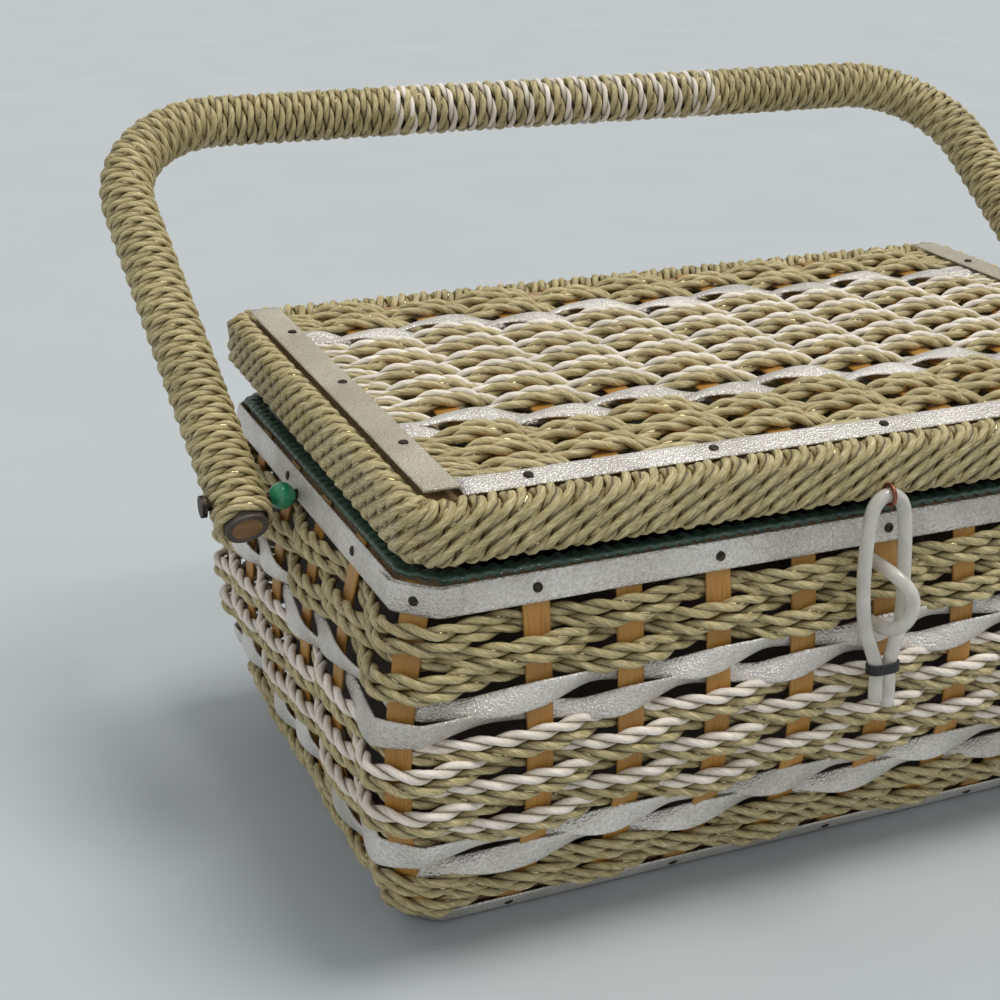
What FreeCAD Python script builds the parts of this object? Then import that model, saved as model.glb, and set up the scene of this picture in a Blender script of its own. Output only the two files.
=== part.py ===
"""Wicker sewing basket: stake-and-strand body, hinged woven lid, bail handle and loop latch.

Frame: X along the long front, Y towards the back, Z up, origin at the middle of the base.
All sizes are in millimetres and live in the spreadsheet "sizes".
"""
import FreeCAD
import Part
import math
import os

from FreeCAD import Placement, Rotation, Vector

X_AXIS = Vector(1, 0, 0)
Y_AXIS = Vector(0, 1, 0)
Z_AXIS = Vector(0, 0, 1)

doc = FreeCAD.newDocument("sewing_basket")

# Driving sizes: alias, value, meaning
SIZES = [
    ("rim_half_width", 136.5, "middle of the stakes at the rim, along X"),
    ("rim_half_depth", 84.0, "middle of the stakes at the rim, along Y"),
    ("wall_height", 112.0, "floor to the top of the rim"),
    ("corner_radius", 15.0, "plan radius of the wall's corners"),
    ("side_bulge", 9.0, "how far the short sides swell at half height"),
    ("front_bulge", 5.0, "how far the long sides swell at half height"),
    ("side_tuck", 6.0, "how far the short sides draw in at the floor"),
    ("front_tuck", 21.0, "how far the long sides draw in at the floor"),
    ("tuck_height", 60.0, "height at which the drawing in starts"),
    ("stake_width", 7.5, "bamboo stake"),
    ("stake_thickness", 1.2, "bamboo stake"),
    ("stake_margin", 17.5, "outer stakes of the long sides from the start of the corners"),
    ("side_stake_margin", 22.5, "outer stakes of the short sides from the start of the corners"),
    ("corner_stake_width", 5.0, "stake bent round a corner of the wall"),
    ("stake_end_gap", 0.4, "stake ends kept off the floor and the rim"),
    ("weave_top_gap", 0.5, "highest woven row below the hinge rings"),
    ("weave_foot_gap", 0.85, "lowest woven row above the base board"),
    ("row_gap", 0.3, "between woven rows"),
    ("cord_thickness", 3.0, "one strand of a woven row, through the wall"),
    ("vinyl_row_thickness", 1.6, "flat vinyl strand"),
    ("cord_gap", 0.1, "between the two strands of a row"),
    ("weave_clearance", 0.3, "between strand and stake"),
    ("strand_lead", 0.8, "straight run of a strand past the edge of its stake"),
    ("strip_thickness", 1.0, "vinyl edging"),
    ("strip_clearance", 0.15, "vinyl edging to stake"),
    ("rim_band_height", 8.0, "rim lath and rim strip"),
    ("lath_thickness", 4.0, "wooden hoop inside the rim"),
    ("base_strip_height", 7.2, "vinyl edging at the floor"),
    ("board_thickness", 8.0, "wooden base"),
    ("nail_head_diameter", 3.0, "strip nails"),
    ("nail_head_height", 0.7, "strip nails"),
    ("nail_shank_diameter", 1.2, "strip nails"),
    ("nail_length", 5.0, "strip nails, under the head"),
    ("lining_thickness", 2.0, "satin over card"),
    ("lining_gap", 0.5, "lining to the inmost strands"),
    ("trim_height", 4.0, "braid on top of the rim lath"),
    ("trim_thickness", 3.0, "braid on top of the rim lath"),
    ("lid_side_overhang", 3.5, "wrapped lid rim outside the stakes of the short sides"),
    ("lid_front_overhang", 7.0, "wrapped lid rim outside the stakes of the long sides"),
    ("lid_corner_radius", 12.0, "outside of the wrapped lid rim"),
    ("lid_rim_height", 17.6, "wrapped lid rim"),
    ("lid_rim_width", 9.2, "wrapped lid rim"),
    ("wrap_thickness", 2.6, "cord layer round the lid frame"),
    ("wrap_clearance", 0.1, "cord layer to the lid frame"),
    ("lid_edge_fillet", 2.4, "rounding of the wrapped rim"),
    ("lid_gap", 5.5, "lid rim above the body rim at the front"),
    ("lid_tilt", 1.7, "degrees by which the lid rides up at the back"),
    ("ledge_width", 8.6, "inner frame along the lid's short sides"),
    ("ledge_rail", 5.4, "inner frame along the lid's long sides"),
    ("ledge_height", 5.0, "inner frame that carries the lid's stakes"),
    ("ledge_level", 10.0, "underside of the inner frame above the rim's underside"),
    ("ledge_clearance", 0.1, "inner frame to the wrapped rim"),
    ("row_ledge_gap", 0.55, "outermost lid rows to the inner frame"),
    ("lid_row_gap", 0.4, "between the rows of the lid"),
    ("strand_end_gap", 4.8, "ends of the lid strands to the wrapped rim"),
    ("strip_row_gap", 0.25, "front vinyl strip of the lid to the first row"),
    ("side_strip_width", 8.6, "vinyl strips on the lid's short edges"),
    ("strip_end_gap", 2.2, "ends of those strips kept off the rim's corners"),
    ("front_nail_inset", 29.0, "front nail of a short edge from the end of its strip"),
    ("back_nail_inset", 27.0, "back nail of a short edge from the end of its strip"),
    ("pad_side_gap", 6.8, "padded lid lining to the wrapped rim, on the short sides"),
    ("pad_hinge_gap", 3.05, "padded lid lining to the hinge rings"),
    ("pad_thickness", 15.0, "padded lid lining at its crown"),
    ("pad_edge", 10.0, "padded lid lining at its edge"),
    ("hinge_setback", 4.0, "hinge axis behind the stakes"),
    ("hinge_rise", 6.0, "hinge axis above the body rim"),
    ("ring_stake_gap", 0.8, "middle hinge ring to the stake beside it"),
    ("tube_diameter", 3.9, "clear vinyl tube of hinges, latch and catch"),
    ("ring_clearance", 0.3, "hinge tube to its holes"),
    ("pivot_y", 5.0, "handle pivot"),
    ("pivot_drop", 6.0, "handle pivot below the top of the rim"),
    ("pin_diameter", 3.0, "handle pivot pin"),
    ("pin_clearance", 0.05, "handle pivot pin, radial"),
    ("pin_head_diameter", 6.5, "handle pivot pin"),
    ("pin_head_height", 1.5, "handle pivot pin"),
    ("bead_diameter", 8.0, "spacer bead"),
    ("bead_clearance", 0.3125, "spacer bead to the handle and to the rim strip"),
    ("handle_splay", 8.0, "how far the legs spread towards the grip"),
    ("handle_reach", 160.0, "pivot to the middle of the grip"),
    ("handle_stub", 10.0, "handle end past the pivot"),
    ("handle_bend", 38.0, "bend radius of the handle"),
    ("handle_lean", 57.0, "degrees from upright, towards the back"),
    ("handle_core_diameter", 9.0, "wooden rod"),
    ("handle_tube_diameter", 12.5, "fibre tube over the rod"),
    ("handle_wrap_diameter", 17.6, "over the cord"),
    ("handle_fit", 0.05, "rod in tube and tube in cord, radial"),
    ("wrap_start", 2.0, "cord kept back from the handle's ends"),
    ("binding_half_length", 64.0, "two-colour middle of the grip"),
    ("binding_cord", 2.6, "cord of the two-colour middle"),
    ("binding_turns", 16, "turns of the two-colour middle"),
    ("latch_level", 3.4, "latch axis above the underside of the lid rim"),
    ("latch_standoff", 2.4, "latch axis in front of the lid rim"),
    ("latch_half_width", 5.6, "strands of the latch loop from its middle"),
    ("latch_drop", 11.06, "catch's lower foot to the binding thread"),
    ("latch_tail", 10.0, "tail below the binding thread"),
    ("latch_lean", 4.5, "degrees by which the loop hangs off the wall"),
    ("thread_height", 3.0, "black binding thread"),
    ("thread_thickness", 0.8, "black binding thread"),
    ("staple_wire", 1.2, "copper wire"),
    ("staple_clearance", 0.2, "copper wire to the tube"),
    ("staple_length", 5.0, "copper wire into the lid rim"),
    ("catch_foot_drop", 1.55, "upper foot of the catch loop below the top of the weave"),
    ("catch_height", 17.0, "between the feet of the catch loop"),
    ("catch_reach", 18.1, "front of the catch loop from the middle of the stakes"),
    ("catch_root", 5.0, "catch loop into the wall, from the middle of the stakes"),
]
sheet = doc.addObject("Spreadsheet::Sheet", "sizes")
for row, (alias, value, meaning) in enumerate(SIZES, start=1):
    sheet.set(f"A{row}", meaning)
    sheet.set(f"B{row}", str(value))
    sheet.setAlias(f"B{row}", alias)
doc.recompute()


class Sizes:
    """The spreadsheet's values by name."""

    def __getattr__(self, alias):
        return float(sheet.get(alias))


s = Sizes()

# Counts of what repeats
FRONT_STAKES = 9
SIDE_STAKES = 4
ROWS = 15
KHAKI_ROWS = (1, 2, 3, 13, 14, 15)
VINYL_ROWS = (4, 5, 11, 12)
LID_ROWS = 23
LID_VINYL_ROWS = (6, 7, 19, 20)
LID_KHAKI_ROWS = (1, 2, 3, 4, 5, 21, 22, 23)
LID_SIDE_NAILS = 3

# Places that follow from the sizes
stake_pitch = 2.0 * (s.rim_half_width - s.corner_radius - s.stake_margin) / (FRONT_STAKES - 1)
side_stake_pitch = 2.0 * (s.rim_half_depth - s.corner_radius - s.side_stake_margin) / (SIDE_STAKES - 1)
corner_setback = s.corner_stake_width ** 2 / (16.0 * s.corner_radius)
rim_low = s.wall_height - s.rim_band_height
weave_top = rim_low - s.tube_diameter / 2 - s.weave_top_gap
weave_foot = s.board_thickness + s.weave_foot_gap
row_pitch = (weave_top - weave_foot + s.row_gap) / ROWS
cord_height = (row_pitch - s.row_gap - s.cord_gap) / 2.0
lid_half_width = s.rim_half_width + s.lid_side_overhang
lid_half_depth = s.rim_half_depth + s.lid_front_overhang
panel_width = lid_half_width - s.lid_rim_width - s.ledge_clearance
panel_depth = lid_half_depth - s.lid_rim_width - s.ledge_clearance
lid_row_pitch = (2.0 * (panel_depth - s.ledge_rail - s.row_ledge_gap) + s.lid_row_gap) / LID_ROWS
lid_row_start = -lid_row_pitch * (LID_ROWS - 1) / 2.0
lid_vinyl_width = lid_row_pitch - s.lid_row_gap
lid_cord_width = (lid_vinyl_width - s.cord_gap) / 2.0
front_strip_width = s.ledge_rail + s.row_ledge_gap - s.strip_row_gap
hinge_y = s.rim_half_depth + s.hinge_setback
hinge_z = s.wall_height + s.hinge_rise
hinge_ring_radius = hinge_z - rim_low
hinge_ring_spread = 2.5 * stake_pitch
hinge_ring_centre = (s.stake_width + s.tube_diameter) / 2 + s.ring_stake_gap
latch_x = -(s.stake_width + s.tube_diameter) / 2 - s.weave_clearance
for alias, value in (
    ("lid_half_width", lid_half_width),
    ("lid_half_depth", lid_half_depth),
    ("hinge_y", hinge_y),
    ("hinge_ring_radius", hinge_ring_radius),
    ("hinge_ring_spread", hinge_ring_spread),
    ("hinge_ring_centre", hinge_ring_centre),
):
    row += 1
    sheet.set(f"A{row}", "follows from the sizes above")
    sheet.set(f"B{row}", repr(value))
    sheet.setAlias(f"B{row}", alias)
doc.recompute()

parts = {}


def add_shape(label, shape, placement=None):
    """A sub-part whose shape is worked out here, placed after its shape is set."""
    feature = doc.addObject("Part::Feature", label)
    feature.Label = label
    feature.Shape = shape
    if placement is not None:
        feature.Placement = placement
    parts[label] = feature
    return feature


def keep(label, feature):
    """A document object that is a finished sub-part."""
    feature.Label = label
    parts[label] = feature
    return feature


def group(label, features):
    """Identical pieces that share one node."""
    compound = doc.addObject("Part::Compound", label)
    compound.Links = features
    return keep(label, compound)


def flat_face(points):
    return Part.Face(Part.makePolygon(points + points[:1]))


def quad(a, b, c, d):
    """One flat face through four corners, or two triangles where they aren't in a plane."""
    normal = (b - a).cross(c - a)
    flatness = abs(normal.dot(d - a)) / max(normal.Length, 1e-9)
    if flatness < 1e-7:
        return [flat_face([a, b, c, d])]
    return [flat_face([a, b, c]), flat_face([a, c, d])]


def skin(stations, closed):
    """Solid through four-cornered stations: a closed ring, or a strip with two end faces."""
    faces = []
    count = len(stations)
    spans = count if closed else count - 1
    for index in range(spans):
        here = stations[index]
        there = stations[(index + 1) % count]
        for corner in range(4):
            after = (corner + 1) % 4
            faces += quad(here[corner], here[after], there[after], there[corner])
    if not closed:
        faces += quad(*stations[0])
        faces += quad(*stations[-1])
    shell = Part.makeShell(faces)
    shell.sewShape()
    solid = Part.makeSolid(shell)
    if solid.Volume < 0:
        solid.reverse()
    return solid


# Wall: plan and profile
def wall_swell(z, rim, bulge, tuck):
    """Rim size, plus a parabolic bulge, less a tuck that grows with the square of the depth."""
    rise = z / s.wall_height
    below = max(0.0, 1.0 - z / s.tuck_height)
    return rim + bulge * 4.0 * rise * (1.0 - rise) - tuck * below * below


def half_width(z):
    return wall_swell(z, s.rim_half_width, s.side_bulge, s.side_tuck)


def half_depth(z):
    return wall_swell(z, s.rim_half_depth, s.front_bulge, s.front_tuck)


def wall_slope(z, size_at):
    """How fast a side moves outwards with height."""
    step = 0.5
    return (size_at(z + step) - size_at(z - step)) / (2.0 * step)


def rounded_wire(half_x, half_y, radius, z):
    """Rounded rectangle at height z."""
    inner_x = half_x - radius
    inner_y = half_y - radius
    diagonal = radius * math.sqrt(0.5)
    edges = []
    for sx, sy in ((1, -1), (1, 1), (-1, 1), (-1, -1)):
        along_x = Vector(sx * inner_x, sy * half_y, z)
        along_y = Vector(sx * half_x, sy * inner_y, z)
        middle = Vector(sx * (inner_x + diagonal), sy * (inner_y + diagonal), z)
        first, last = (along_x, along_y) if sx * sy < 0 else (along_y, along_x)
        if edges:
            edges.append(Part.LineSegment(edges[-1].lastVertex().Point, first).toShape())
        edges.append(Part.Arc(first, middle, last).toShape())
    edges.append(Part.LineSegment(edges[-1].lastVertex().Point, edges[0].firstVertex().Point).toShape())
    return Part.Wire(edges)


def wall_core(offset, low, high):
    """Everything inside the wall, offset from the middle of the stakes, between two heights."""
    wires = [
        rounded_wire(half_width(z) + offset, half_depth(z) + offset, s.corner_radius + offset, z)
        for z in (low, high)
    ]
    return Part.makeLoft(wires, True, True)


def wall_band(inner, outer, low, high):
    """A hoop that follows the wall between two offsets and two heights."""
    return wall_core(outer, low, high).cut(wall_core(inner, low, high))


class Stake:
    """One upright: which side it is on and how far along it."""

    def __init__(self, side, along=0.0, turn=(0, 0)):
        self.side = side
        self.along = along
        self.turn = turn

    def width(self):
        return s.corner_stake_width if self.side == "corner" else s.stake_width

    def frame(self, z):
        """Middle of the stake at height z, outward normal and tangent."""
        wide = half_width(z)
        deep = half_depth(z)
        if self.side == "front":
            return Vector(self.along, -deep, z), Vector(0, -1, 0), Vector(1, 0, 0)
        if self.side == "back":
            return Vector(self.along, deep, z), Vector(0, 1, 0), Vector(-1, 0, 0)
        if self.side == "right":
            return Vector(wide, self.along, z), Vector(1, 0, 0), Vector(0, 1, 0)
        if self.side == "left":
            return Vector(-wide, self.along, z), Vector(-1, 0, 0), Vector(0, -1, 0)
        normal = Vector(self.turn[0], self.turn[1], 0).normalize()
        centre = Vector(
            self.turn[0] * (wide - s.corner_radius), self.turn[1] * (deep - s.corner_radius), z
        )
        return centre + normal * (s.corner_radius - corner_setback), normal, Z_AXIS.cross(normal)


def evenly(count, pitch):
    return [(index - (count - 1) / 2.0) * pitch for index in range(count)]


front_line = evenly(FRONT_STAKES, stake_pitch)
side_line = evenly(SIDE_STAKES, side_stake_pitch)
stakes = [Stake("corner", turn=(-1, -1))]
stakes += [Stake("front", along) for along in front_line]
stakes += [Stake("corner", turn=(1, -1))]
stakes += [Stake("right", along) for along in side_line]
stakes += [Stake("corner", turn=(1, 1))]
stakes += [Stake("back", along) for along in reversed(front_line)]
stakes += [Stake("corner", turn=(-1, 1))]
stakes += [Stake("left", along) for along in reversed(side_line)]


# Stakes
LOWER_STATIONS = 8
UPPER_STATIONS = 4


def stake_heights():
    low = s.stake_end_gap
    lower = [low + (s.tuck_height - low) * k / LOWER_STATIONS for k in range(LOWER_STATIONS)]
    upper = [s.tuck_height + (rim_low - s.tuck_height) * k / UPPER_STATIONS for k in range(UPPER_STATIONS + 1)]
    return lower + upper + [s.wall_height - s.stake_end_gap]


def stake_solid(stake):
    """A flat strip that follows the wall's profile."""
    stations = []
    for z in stake_heights():
        middle, normal, tangent = stake.frame(z)
        side = tangent * (stake.width() / 2)
        out = normal * (s.stake_thickness / 2)
        stations.append([middle - side + out, middle + side + out, middle + side - out, middle - side - out])
    return skin(stations, closed=False)


for side in ("front", "back", "left", "right", "corner"):
    strips = [stake_solid(stake) for stake in stakes if stake.side == side]
    add_shape(f"{side}_stakes", Part.makeCompound(strips))


# Woven rows: each strand goes outside one stake and inside the next
def strand_ring(row, low, high, thickness):
    """A closed strand between two heights, over and under the stakes."""
    reach = s.stake_thickness / 2 + s.weave_clearance + thickness / 2
    stations = []
    for index, stake in enumerate(stakes):
        lead = stake.width() / 2 + s.strand_lead
        side = 1 if (index + row) % 2 else -1
        for run in (-lead, lead):
            corners = []
            for z, edge in ((high, 0.5), (low, 0.5), (low, -0.5), (high, -0.5)):
                middle, normal, tangent = stake.frame(z)
                corners.append(middle + tangent * run + normal * (side * reach + edge * thickness))
            stations.append(corners)
    return skin(stations, closed=True)


for row in range(1, ROWS + 1):
    top = weave_top - (row - 1) * row_pitch
    upper = (top - cord_height, top)
    lower = (top - row_pitch + s.row_gap, top - cord_height - s.cord_gap)
    if row in VINYL_ROWS:
        add_shape(f"vinyl_weaver_{row:02d}", strand_ring(row, lower[0], upper[1], s.vinyl_row_thickness))
        continue
    upper_ring = strand_ring(row, *upper, s.cord_thickness)
    lower_ring = strand_ring(row, *lower, s.cord_thickness)
    if row in KHAKI_ROWS:
        add_shape(f"khaki_weaver_{row:02d}", Part.makeCompound([upper_ring, lower_ring]))
    else:
        add_shape(f"white_weaver_{row:02d}", upper_ring)
        add_shape(f"khaki_weaver_{row:02d}", lower_ring)


# Hinge: clear tubes bent into rings about the hinge axis
hinge_places = (-hinge_ring_spread, hinge_ring_centre, hinge_ring_spread)


def hinge_channels():
    """The room that each hinge ring needs in what it passes through."""
    radius = s.tube_diameter / 2 + s.ring_clearance
    rings = [
        Part.makeTorus(hinge_ring_radius, radius, Vector(x, hinge_y, hinge_z), X_AXIS)
        for x in hinge_places
    ]
    return Part.makeCompound(rings)


hinge_rings = []
for name, place in (
    ("left_hinge_ring", "-sizes.hinge_ring_spread"),
    ("middle_hinge_ring", "sizes.hinge_ring_centre"),
    ("right_hinge_ring", "sizes.hinge_ring_spread"),
):
    ring = doc.addObject("Part::Torus", name)
    ring.setExpression("Radius1", "sizes.hinge_ring_radius")
    ring.setExpression("Radius2", "sizes.tube_diameter / 2")
    ring.Placement = Placement(Vector(), Rotation(Y_AXIS, 90))
    ring.setExpression("Placement.Base.x", place)
    ring.setExpression("Placement.Base.y", "sizes.hinge_y")
    ring.setExpression("Placement.Base.z", "sizes.wall_height + sizes.hinge_rise")
    hinge_rings.append(ring)
group("hinge_rings", hinge_rings)
channels = hinge_channels()

# Base board, edgings and rim lath
strip_inner = s.stake_thickness / 2 + s.strip_clearance
strip_outer = strip_inner + s.strip_thickness
lath_outer = -strip_inner
lath_inner = lath_outer - s.lath_thickness

add_shape("base_board", wall_core(lath_outer, 0.0, s.board_thickness))
add_shape("base_strip", wall_band(strip_inner, strip_outer, s.stake_end_gap, s.base_strip_height))
add_shape("rim_lath", wall_band(lath_inner, lath_outer, rim_low, s.wall_height).cut(channels))
add_shape("rim_strip", wall_band(strip_inner, strip_outer, rim_low, s.wall_height).cut(channels))
trim_low = s.wall_height
add_shape(
    "lining_trim",
    Part.makeLoft(
        [
            rounded_wire(
                s.rim_half_width + lath_outer, s.rim_half_depth + lath_outer, s.corner_radius + lath_outer, z
            )
            for z in (trim_low, trim_low + s.trim_height)
        ],
        True,
        True,
    ).cut(
        Part.makeLoft(
            [
                rounded_wire(
                    s.rim_half_width + lath_outer - s.trim_thickness,
                    s.rim_half_depth + lath_outer - s.trim_thickness,
                    s.corner_radius + lath_outer - s.trim_thickness,
                    z,
                )
                for z in (trim_low, trim_low + s.trim_height)
            ],
            True,
            True,
        )
    ),
)


# Nails through the edgings
def nail(point, normal):
    """Flat head on the strip, shank into the wood behind it."""
    head = Part.makeCylinder(s.nail_head_diameter / 2, s.nail_head_height, point, normal)
    shank = Part.makeCylinder(s.nail_shank_diameter / 2, s.nail_length, point, normal * -1)
    return head.fuse(shank).removeSplitter()


def wall_nail(stake, z):
    middle, normal, _ = stake.frame(z)
    size_at = half_width if stake.side in ("left", "right") else half_depth
    lean = (normal - Z_AXIS * wall_slope(z, size_at)).normalize()
    return nail(middle + normal * strip_outer, lean)


# Every other stake, and the front left corner, where the ends of a strip meet
nailed = stakes[:1] + stakes[1::2]
rim_nail_level = s.wall_height - s.rim_band_height / 2
base_nail_level = (s.stake_end_gap + s.base_strip_height) / 2
add_shape(
    "wall_nails",
    Part.makeCompound(
        [wall_nail(stake, z) for stake in nailed for z in (rim_nail_level, base_nail_level)]
    ),
)

# Lining: four leaning panels on a padded floor
inmost = s.stake_thickness / 2 + s.weave_clearance + s.cord_thickness + s.lining_gap
floor_low = s.board_thickness
panel_high = s.wall_height
lath_face = -lath_inner + s.lining_gap
panel_foot_x = half_width(floor_low) - inmost
panel_foot_y = half_depth(floor_low) - inmost
panel_head_x = s.rim_half_width - lath_face
panel_head_y = s.rim_half_depth - lath_face
corner_room = s.corner_radius - s.lining_thickness

floor = doc.addObject("Part::Box", "base_lining")
floor.Length = 2 * (panel_foot_x - s.lining_thickness - s.lining_gap)
floor.Width = 2 * (panel_foot_y - s.lining_thickness - s.lining_gap)
floor.setExpression("Height", "sizes.lining_thickness")
floor.Placement.Base = Vector(-floor.Length.Value / 2, -floor.Width.Value / 2, 0)
floor.setExpression("Placement.Base.z", "sizes.board_thickness")
keep("base_lining", floor)


def lining_panel(foot, head, foot_half, head_half, across):
    """A flat leaning panel: foot and head are its outer face, across turns it to its side."""
    t = s.lining_thickness
    stations = []
    for reach, half, z in ((foot, foot_half, floor_low), (head, head_half, panel_high)):
        corners = [(-half, -reach), (half, -reach), (half, -reach + t), (-half, -reach + t)]
        stations.append([Vector(x, y, z) for x, y in corners])
    panel = skin(stations, closed=False)
    panel.rotate(Vector(), Z_AXIS, across)
    return panel


long_foot = panel_foot_x - corner_room
long_head = panel_head_x - corner_room + s.lining_thickness
short_foot = panel_foot_y - corner_room
short_head = panel_head_y - corner_room + s.lining_thickness
for label, across in (("front_lining", 0), ("back_lining", 180)):
    panel = lining_panel(panel_foot_y, panel_head_y, long_foot, long_head, across)
    add_shape(label, panel.cut(channels))
for label, across in (("right_lining", 90), ("left_lining", 270)):
    add_shape(label, lining_panel(panel_foot_x, panel_head_x, short_foot, short_head, across))


# Lid: everything below is drawn level, with the underside of its rim at z = 0, and then tilted
lid_tilt = math.radians(s.lid_tilt)
lid_place = Placement(
    Vector(
        0,
        -lid_half_depth + lid_half_depth * math.cos(lid_tilt),
        s.wall_height + s.lid_gap + lid_half_depth * math.sin(lid_tilt),
    ),
    Rotation(X_AXIS, s.lid_tilt),
)
lid_channels = channels.copy()
lid_channels.Placement = lid_place.inverse()


def bound(sketch, index, name, expression):
    sketch.renameConstraint(index, name)
    sketch.setExpression(f"Constraints.{name}", expression)


def draw_rounded(sketch, prefix, half_x, half_y, radius):
    """Rounded rectangle about the sketch's origin, each size bound to an expression."""
    import Sketcher

    first = sketch.GeometryCount
    a, b, r = 60.0, 40.0, 5.0
    corners = [
        (Vector(-a + r, -b, 0), Vector(a - r, -b, 0), Vector(a - r, -b + r, 0), 270),
        (Vector(a, -b + r, 0), Vector(a, b - r, 0), Vector(a - r, b - r, 0), 0),
        (Vector(a - r, b, 0), Vector(-a + r, b, 0), Vector(-a + r, b - r, 0), 90),
        (Vector(-a, b - r, 0), Vector(-a, -b + r, 0), Vector(-a + r, -b + r, 0), 180),
    ]
    for begin, end, centre, start in corners:
        sketch.addGeometry(Part.LineSegment(begin, end))
        low = math.radians(start)
        sketch.addGeometry(Part.ArcOfCircle(Part.Circle(centre, Z_AXIS, r), low, low + math.pi / 2))
    for side in range(4):
        line = first + 2 * side
        arc = line + 1
        following = first + (2 * side + 2) % 8
        sketch.addConstraint(Sketcher.Constraint("Tangent", line, 2, arc, 1))
        sketch.addConstraint(Sketcher.Constraint("Tangent", arc, 2, following, 1))
        sketch.addConstraint(Sketcher.Constraint("Vertical" if side % 2 else "Horizontal", line))
        if side:
            sketch.addConstraint(Sketcher.Constraint("Equal", first + 1, arc))
    for name, kind, line, size, expression in (
        ("right", "DistanceX", first + 2, a, half_x),
        ("left", "DistanceX", first + 6, -a, f"-({half_x})"),
        ("back", "DistanceY", first + 4, b, half_y),
        ("front", "DistanceY", first, -b, f"-({half_y})"),
    ):
        index = sketch.addConstraint(Sketcher.Constraint(kind, -1, 1, line, 1, size))
        bound(sketch, index, prefix + name, expression)
    index = sketch.addConstraint(Sketcher.Constraint("Radius", first + 1, r))
    bound(sketch, index, prefix + "radius", radius)


def frame_body(label, outer, inner, low, height):
    """A padded frame between two rounded rectangles: (half_x, half_y, radius) as expressions."""
    body = doc.addObject("PartDesign::Body", label + "_body")
    sketch = body.newObject("Sketcher::SketchObject", label + "_outline")
    plane = [item for item in body.Origin.OriginFeatures if item.Role == "XY_Plane"][0]
    sketch.AttachmentSupport = [(plane, "")]
    sketch.MapMode = "FlatFace"
    draw_rounded(sketch, "outer_", *outer)
    draw_rounded(sketch, "inner_", *inner)
    sketch.setExpression("AttachmentOffset.Base.z", low)
    pad = body.newObject("PartDesign::Pad", label + "_pad")
    pad.Profile = sketch
    pad.setExpression("Length", height)
    doc.recompute()
    return body, pad


def lid_outline(inset):
    radius = f"max(sizes.lid_corner_radius - ({inset}); 1)"
    return (f"sizes.lid_half_width - ({inset})", f"sizes.lid_half_depth - ({inset})", radius)


frame_low = "sizes.wrap_thickness + sizes.wrap_clearance"
frame_inset = "sizes.wrap_thickness + sizes.wrap_clearance"
frame_inner = "sizes.lid_rim_width - sizes.wrap_thickness - sizes.wrap_clearance"
frame_height = "sizes.lid_rim_height - 2 * (sizes.wrap_thickness + sizes.wrap_clearance)"
frame, _ = frame_body("lid_frame", lid_outline(frame_inset), lid_outline(frame_inner), frame_low, frame_height)
add_shape("lid_frame", frame.Shape.cut(lid_channels), lid_place)

wrap, wrap_pad = frame_body(
    "lid_rim_wrap", lid_outline("0"), lid_outline("sizes.lid_rim_width"), "0", "sizes.lid_rim_height"
)
rounding = wrap.newObject("PartDesign::Fillet", "lid_rim_rounding")
level_edges = []
for index, edge in enumerate(wrap_pad.Shape.Edges, start=1):
    box = edge.BoundBox
    on_outside = max(box.XMax, -box.XMin) > lid_half_width - s.lid_rim_width / 2
    on_outside = on_outside or max(box.YMax, -box.YMin) > lid_half_depth - s.lid_rim_width / 2
    if box.ZLength < 1e-6 and on_outside:
        level_edges.append(f"Edge{index}")
rounding.Base = (wrap_pad, level_edges)
rounding.setExpression("Radius", "min(sizes.lid_edge_fillet; sizes.lid_rim_width / 3)")
doc.recompute()
hollow, _ = frame_body(
    "lid_frame_room",
    lid_outline("sizes.wrap_thickness"),
    lid_outline("sizes.lid_rim_width - sizes.wrap_thickness"),
    "sizes.wrap_thickness",
    "sizes.lid_rim_height - 2 * sizes.wrap_thickness",
)
add_shape("lid_rim_wrap", wrap.Shape.cut(hollow.Shape).cut(lid_channels), lid_place)

ledge, _ = frame_body(
    "lid_ledge",
    lid_outline("sizes.lid_rim_width + sizes.ledge_clearance"),
    (
        "sizes.lid_half_width - sizes.lid_rim_width - sizes.ledge_clearance - sizes.ledge_width",
        "sizes.lid_half_depth - sizes.lid_rim_width - sizes.ledge_clearance - sizes.ledge_rail",
        "sizes.ledge_clearance * 10",
    ),
    "sizes.ledge_level",
    "sizes.ledge_height",
)
add_shape("lid_ledge", ledge.Shape.cut(lid_channels), lid_place)

ledge_top = s.ledge_level + s.ledge_height
panel_middle = ledge_top + s.stake_thickness / 2
lid_stakes = []
for number, along in enumerate(front_line, start=1):
    strip = doc.addObject("Part::Box", f"lid_stake_{number}")
    strip.setExpression("Length", "sizes.stake_width")
    strip.setExpression(
        "Width", "2 * (sizes.lid_half_depth - sizes.lid_rim_width - sizes.ledge_clearance)"
    )
    strip.setExpression("Height", "sizes.stake_thickness")
    strip.Placement.Base = Vector(along - s.stake_width / 2, -panel_depth, ledge_top)
    strip.setExpression("Placement.Base.z", "sizes.ledge_level + sizes.ledge_height")
    lid_stakes.append(strip)
group("lid_stakes", lid_stakes).Placement = lid_place


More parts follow.
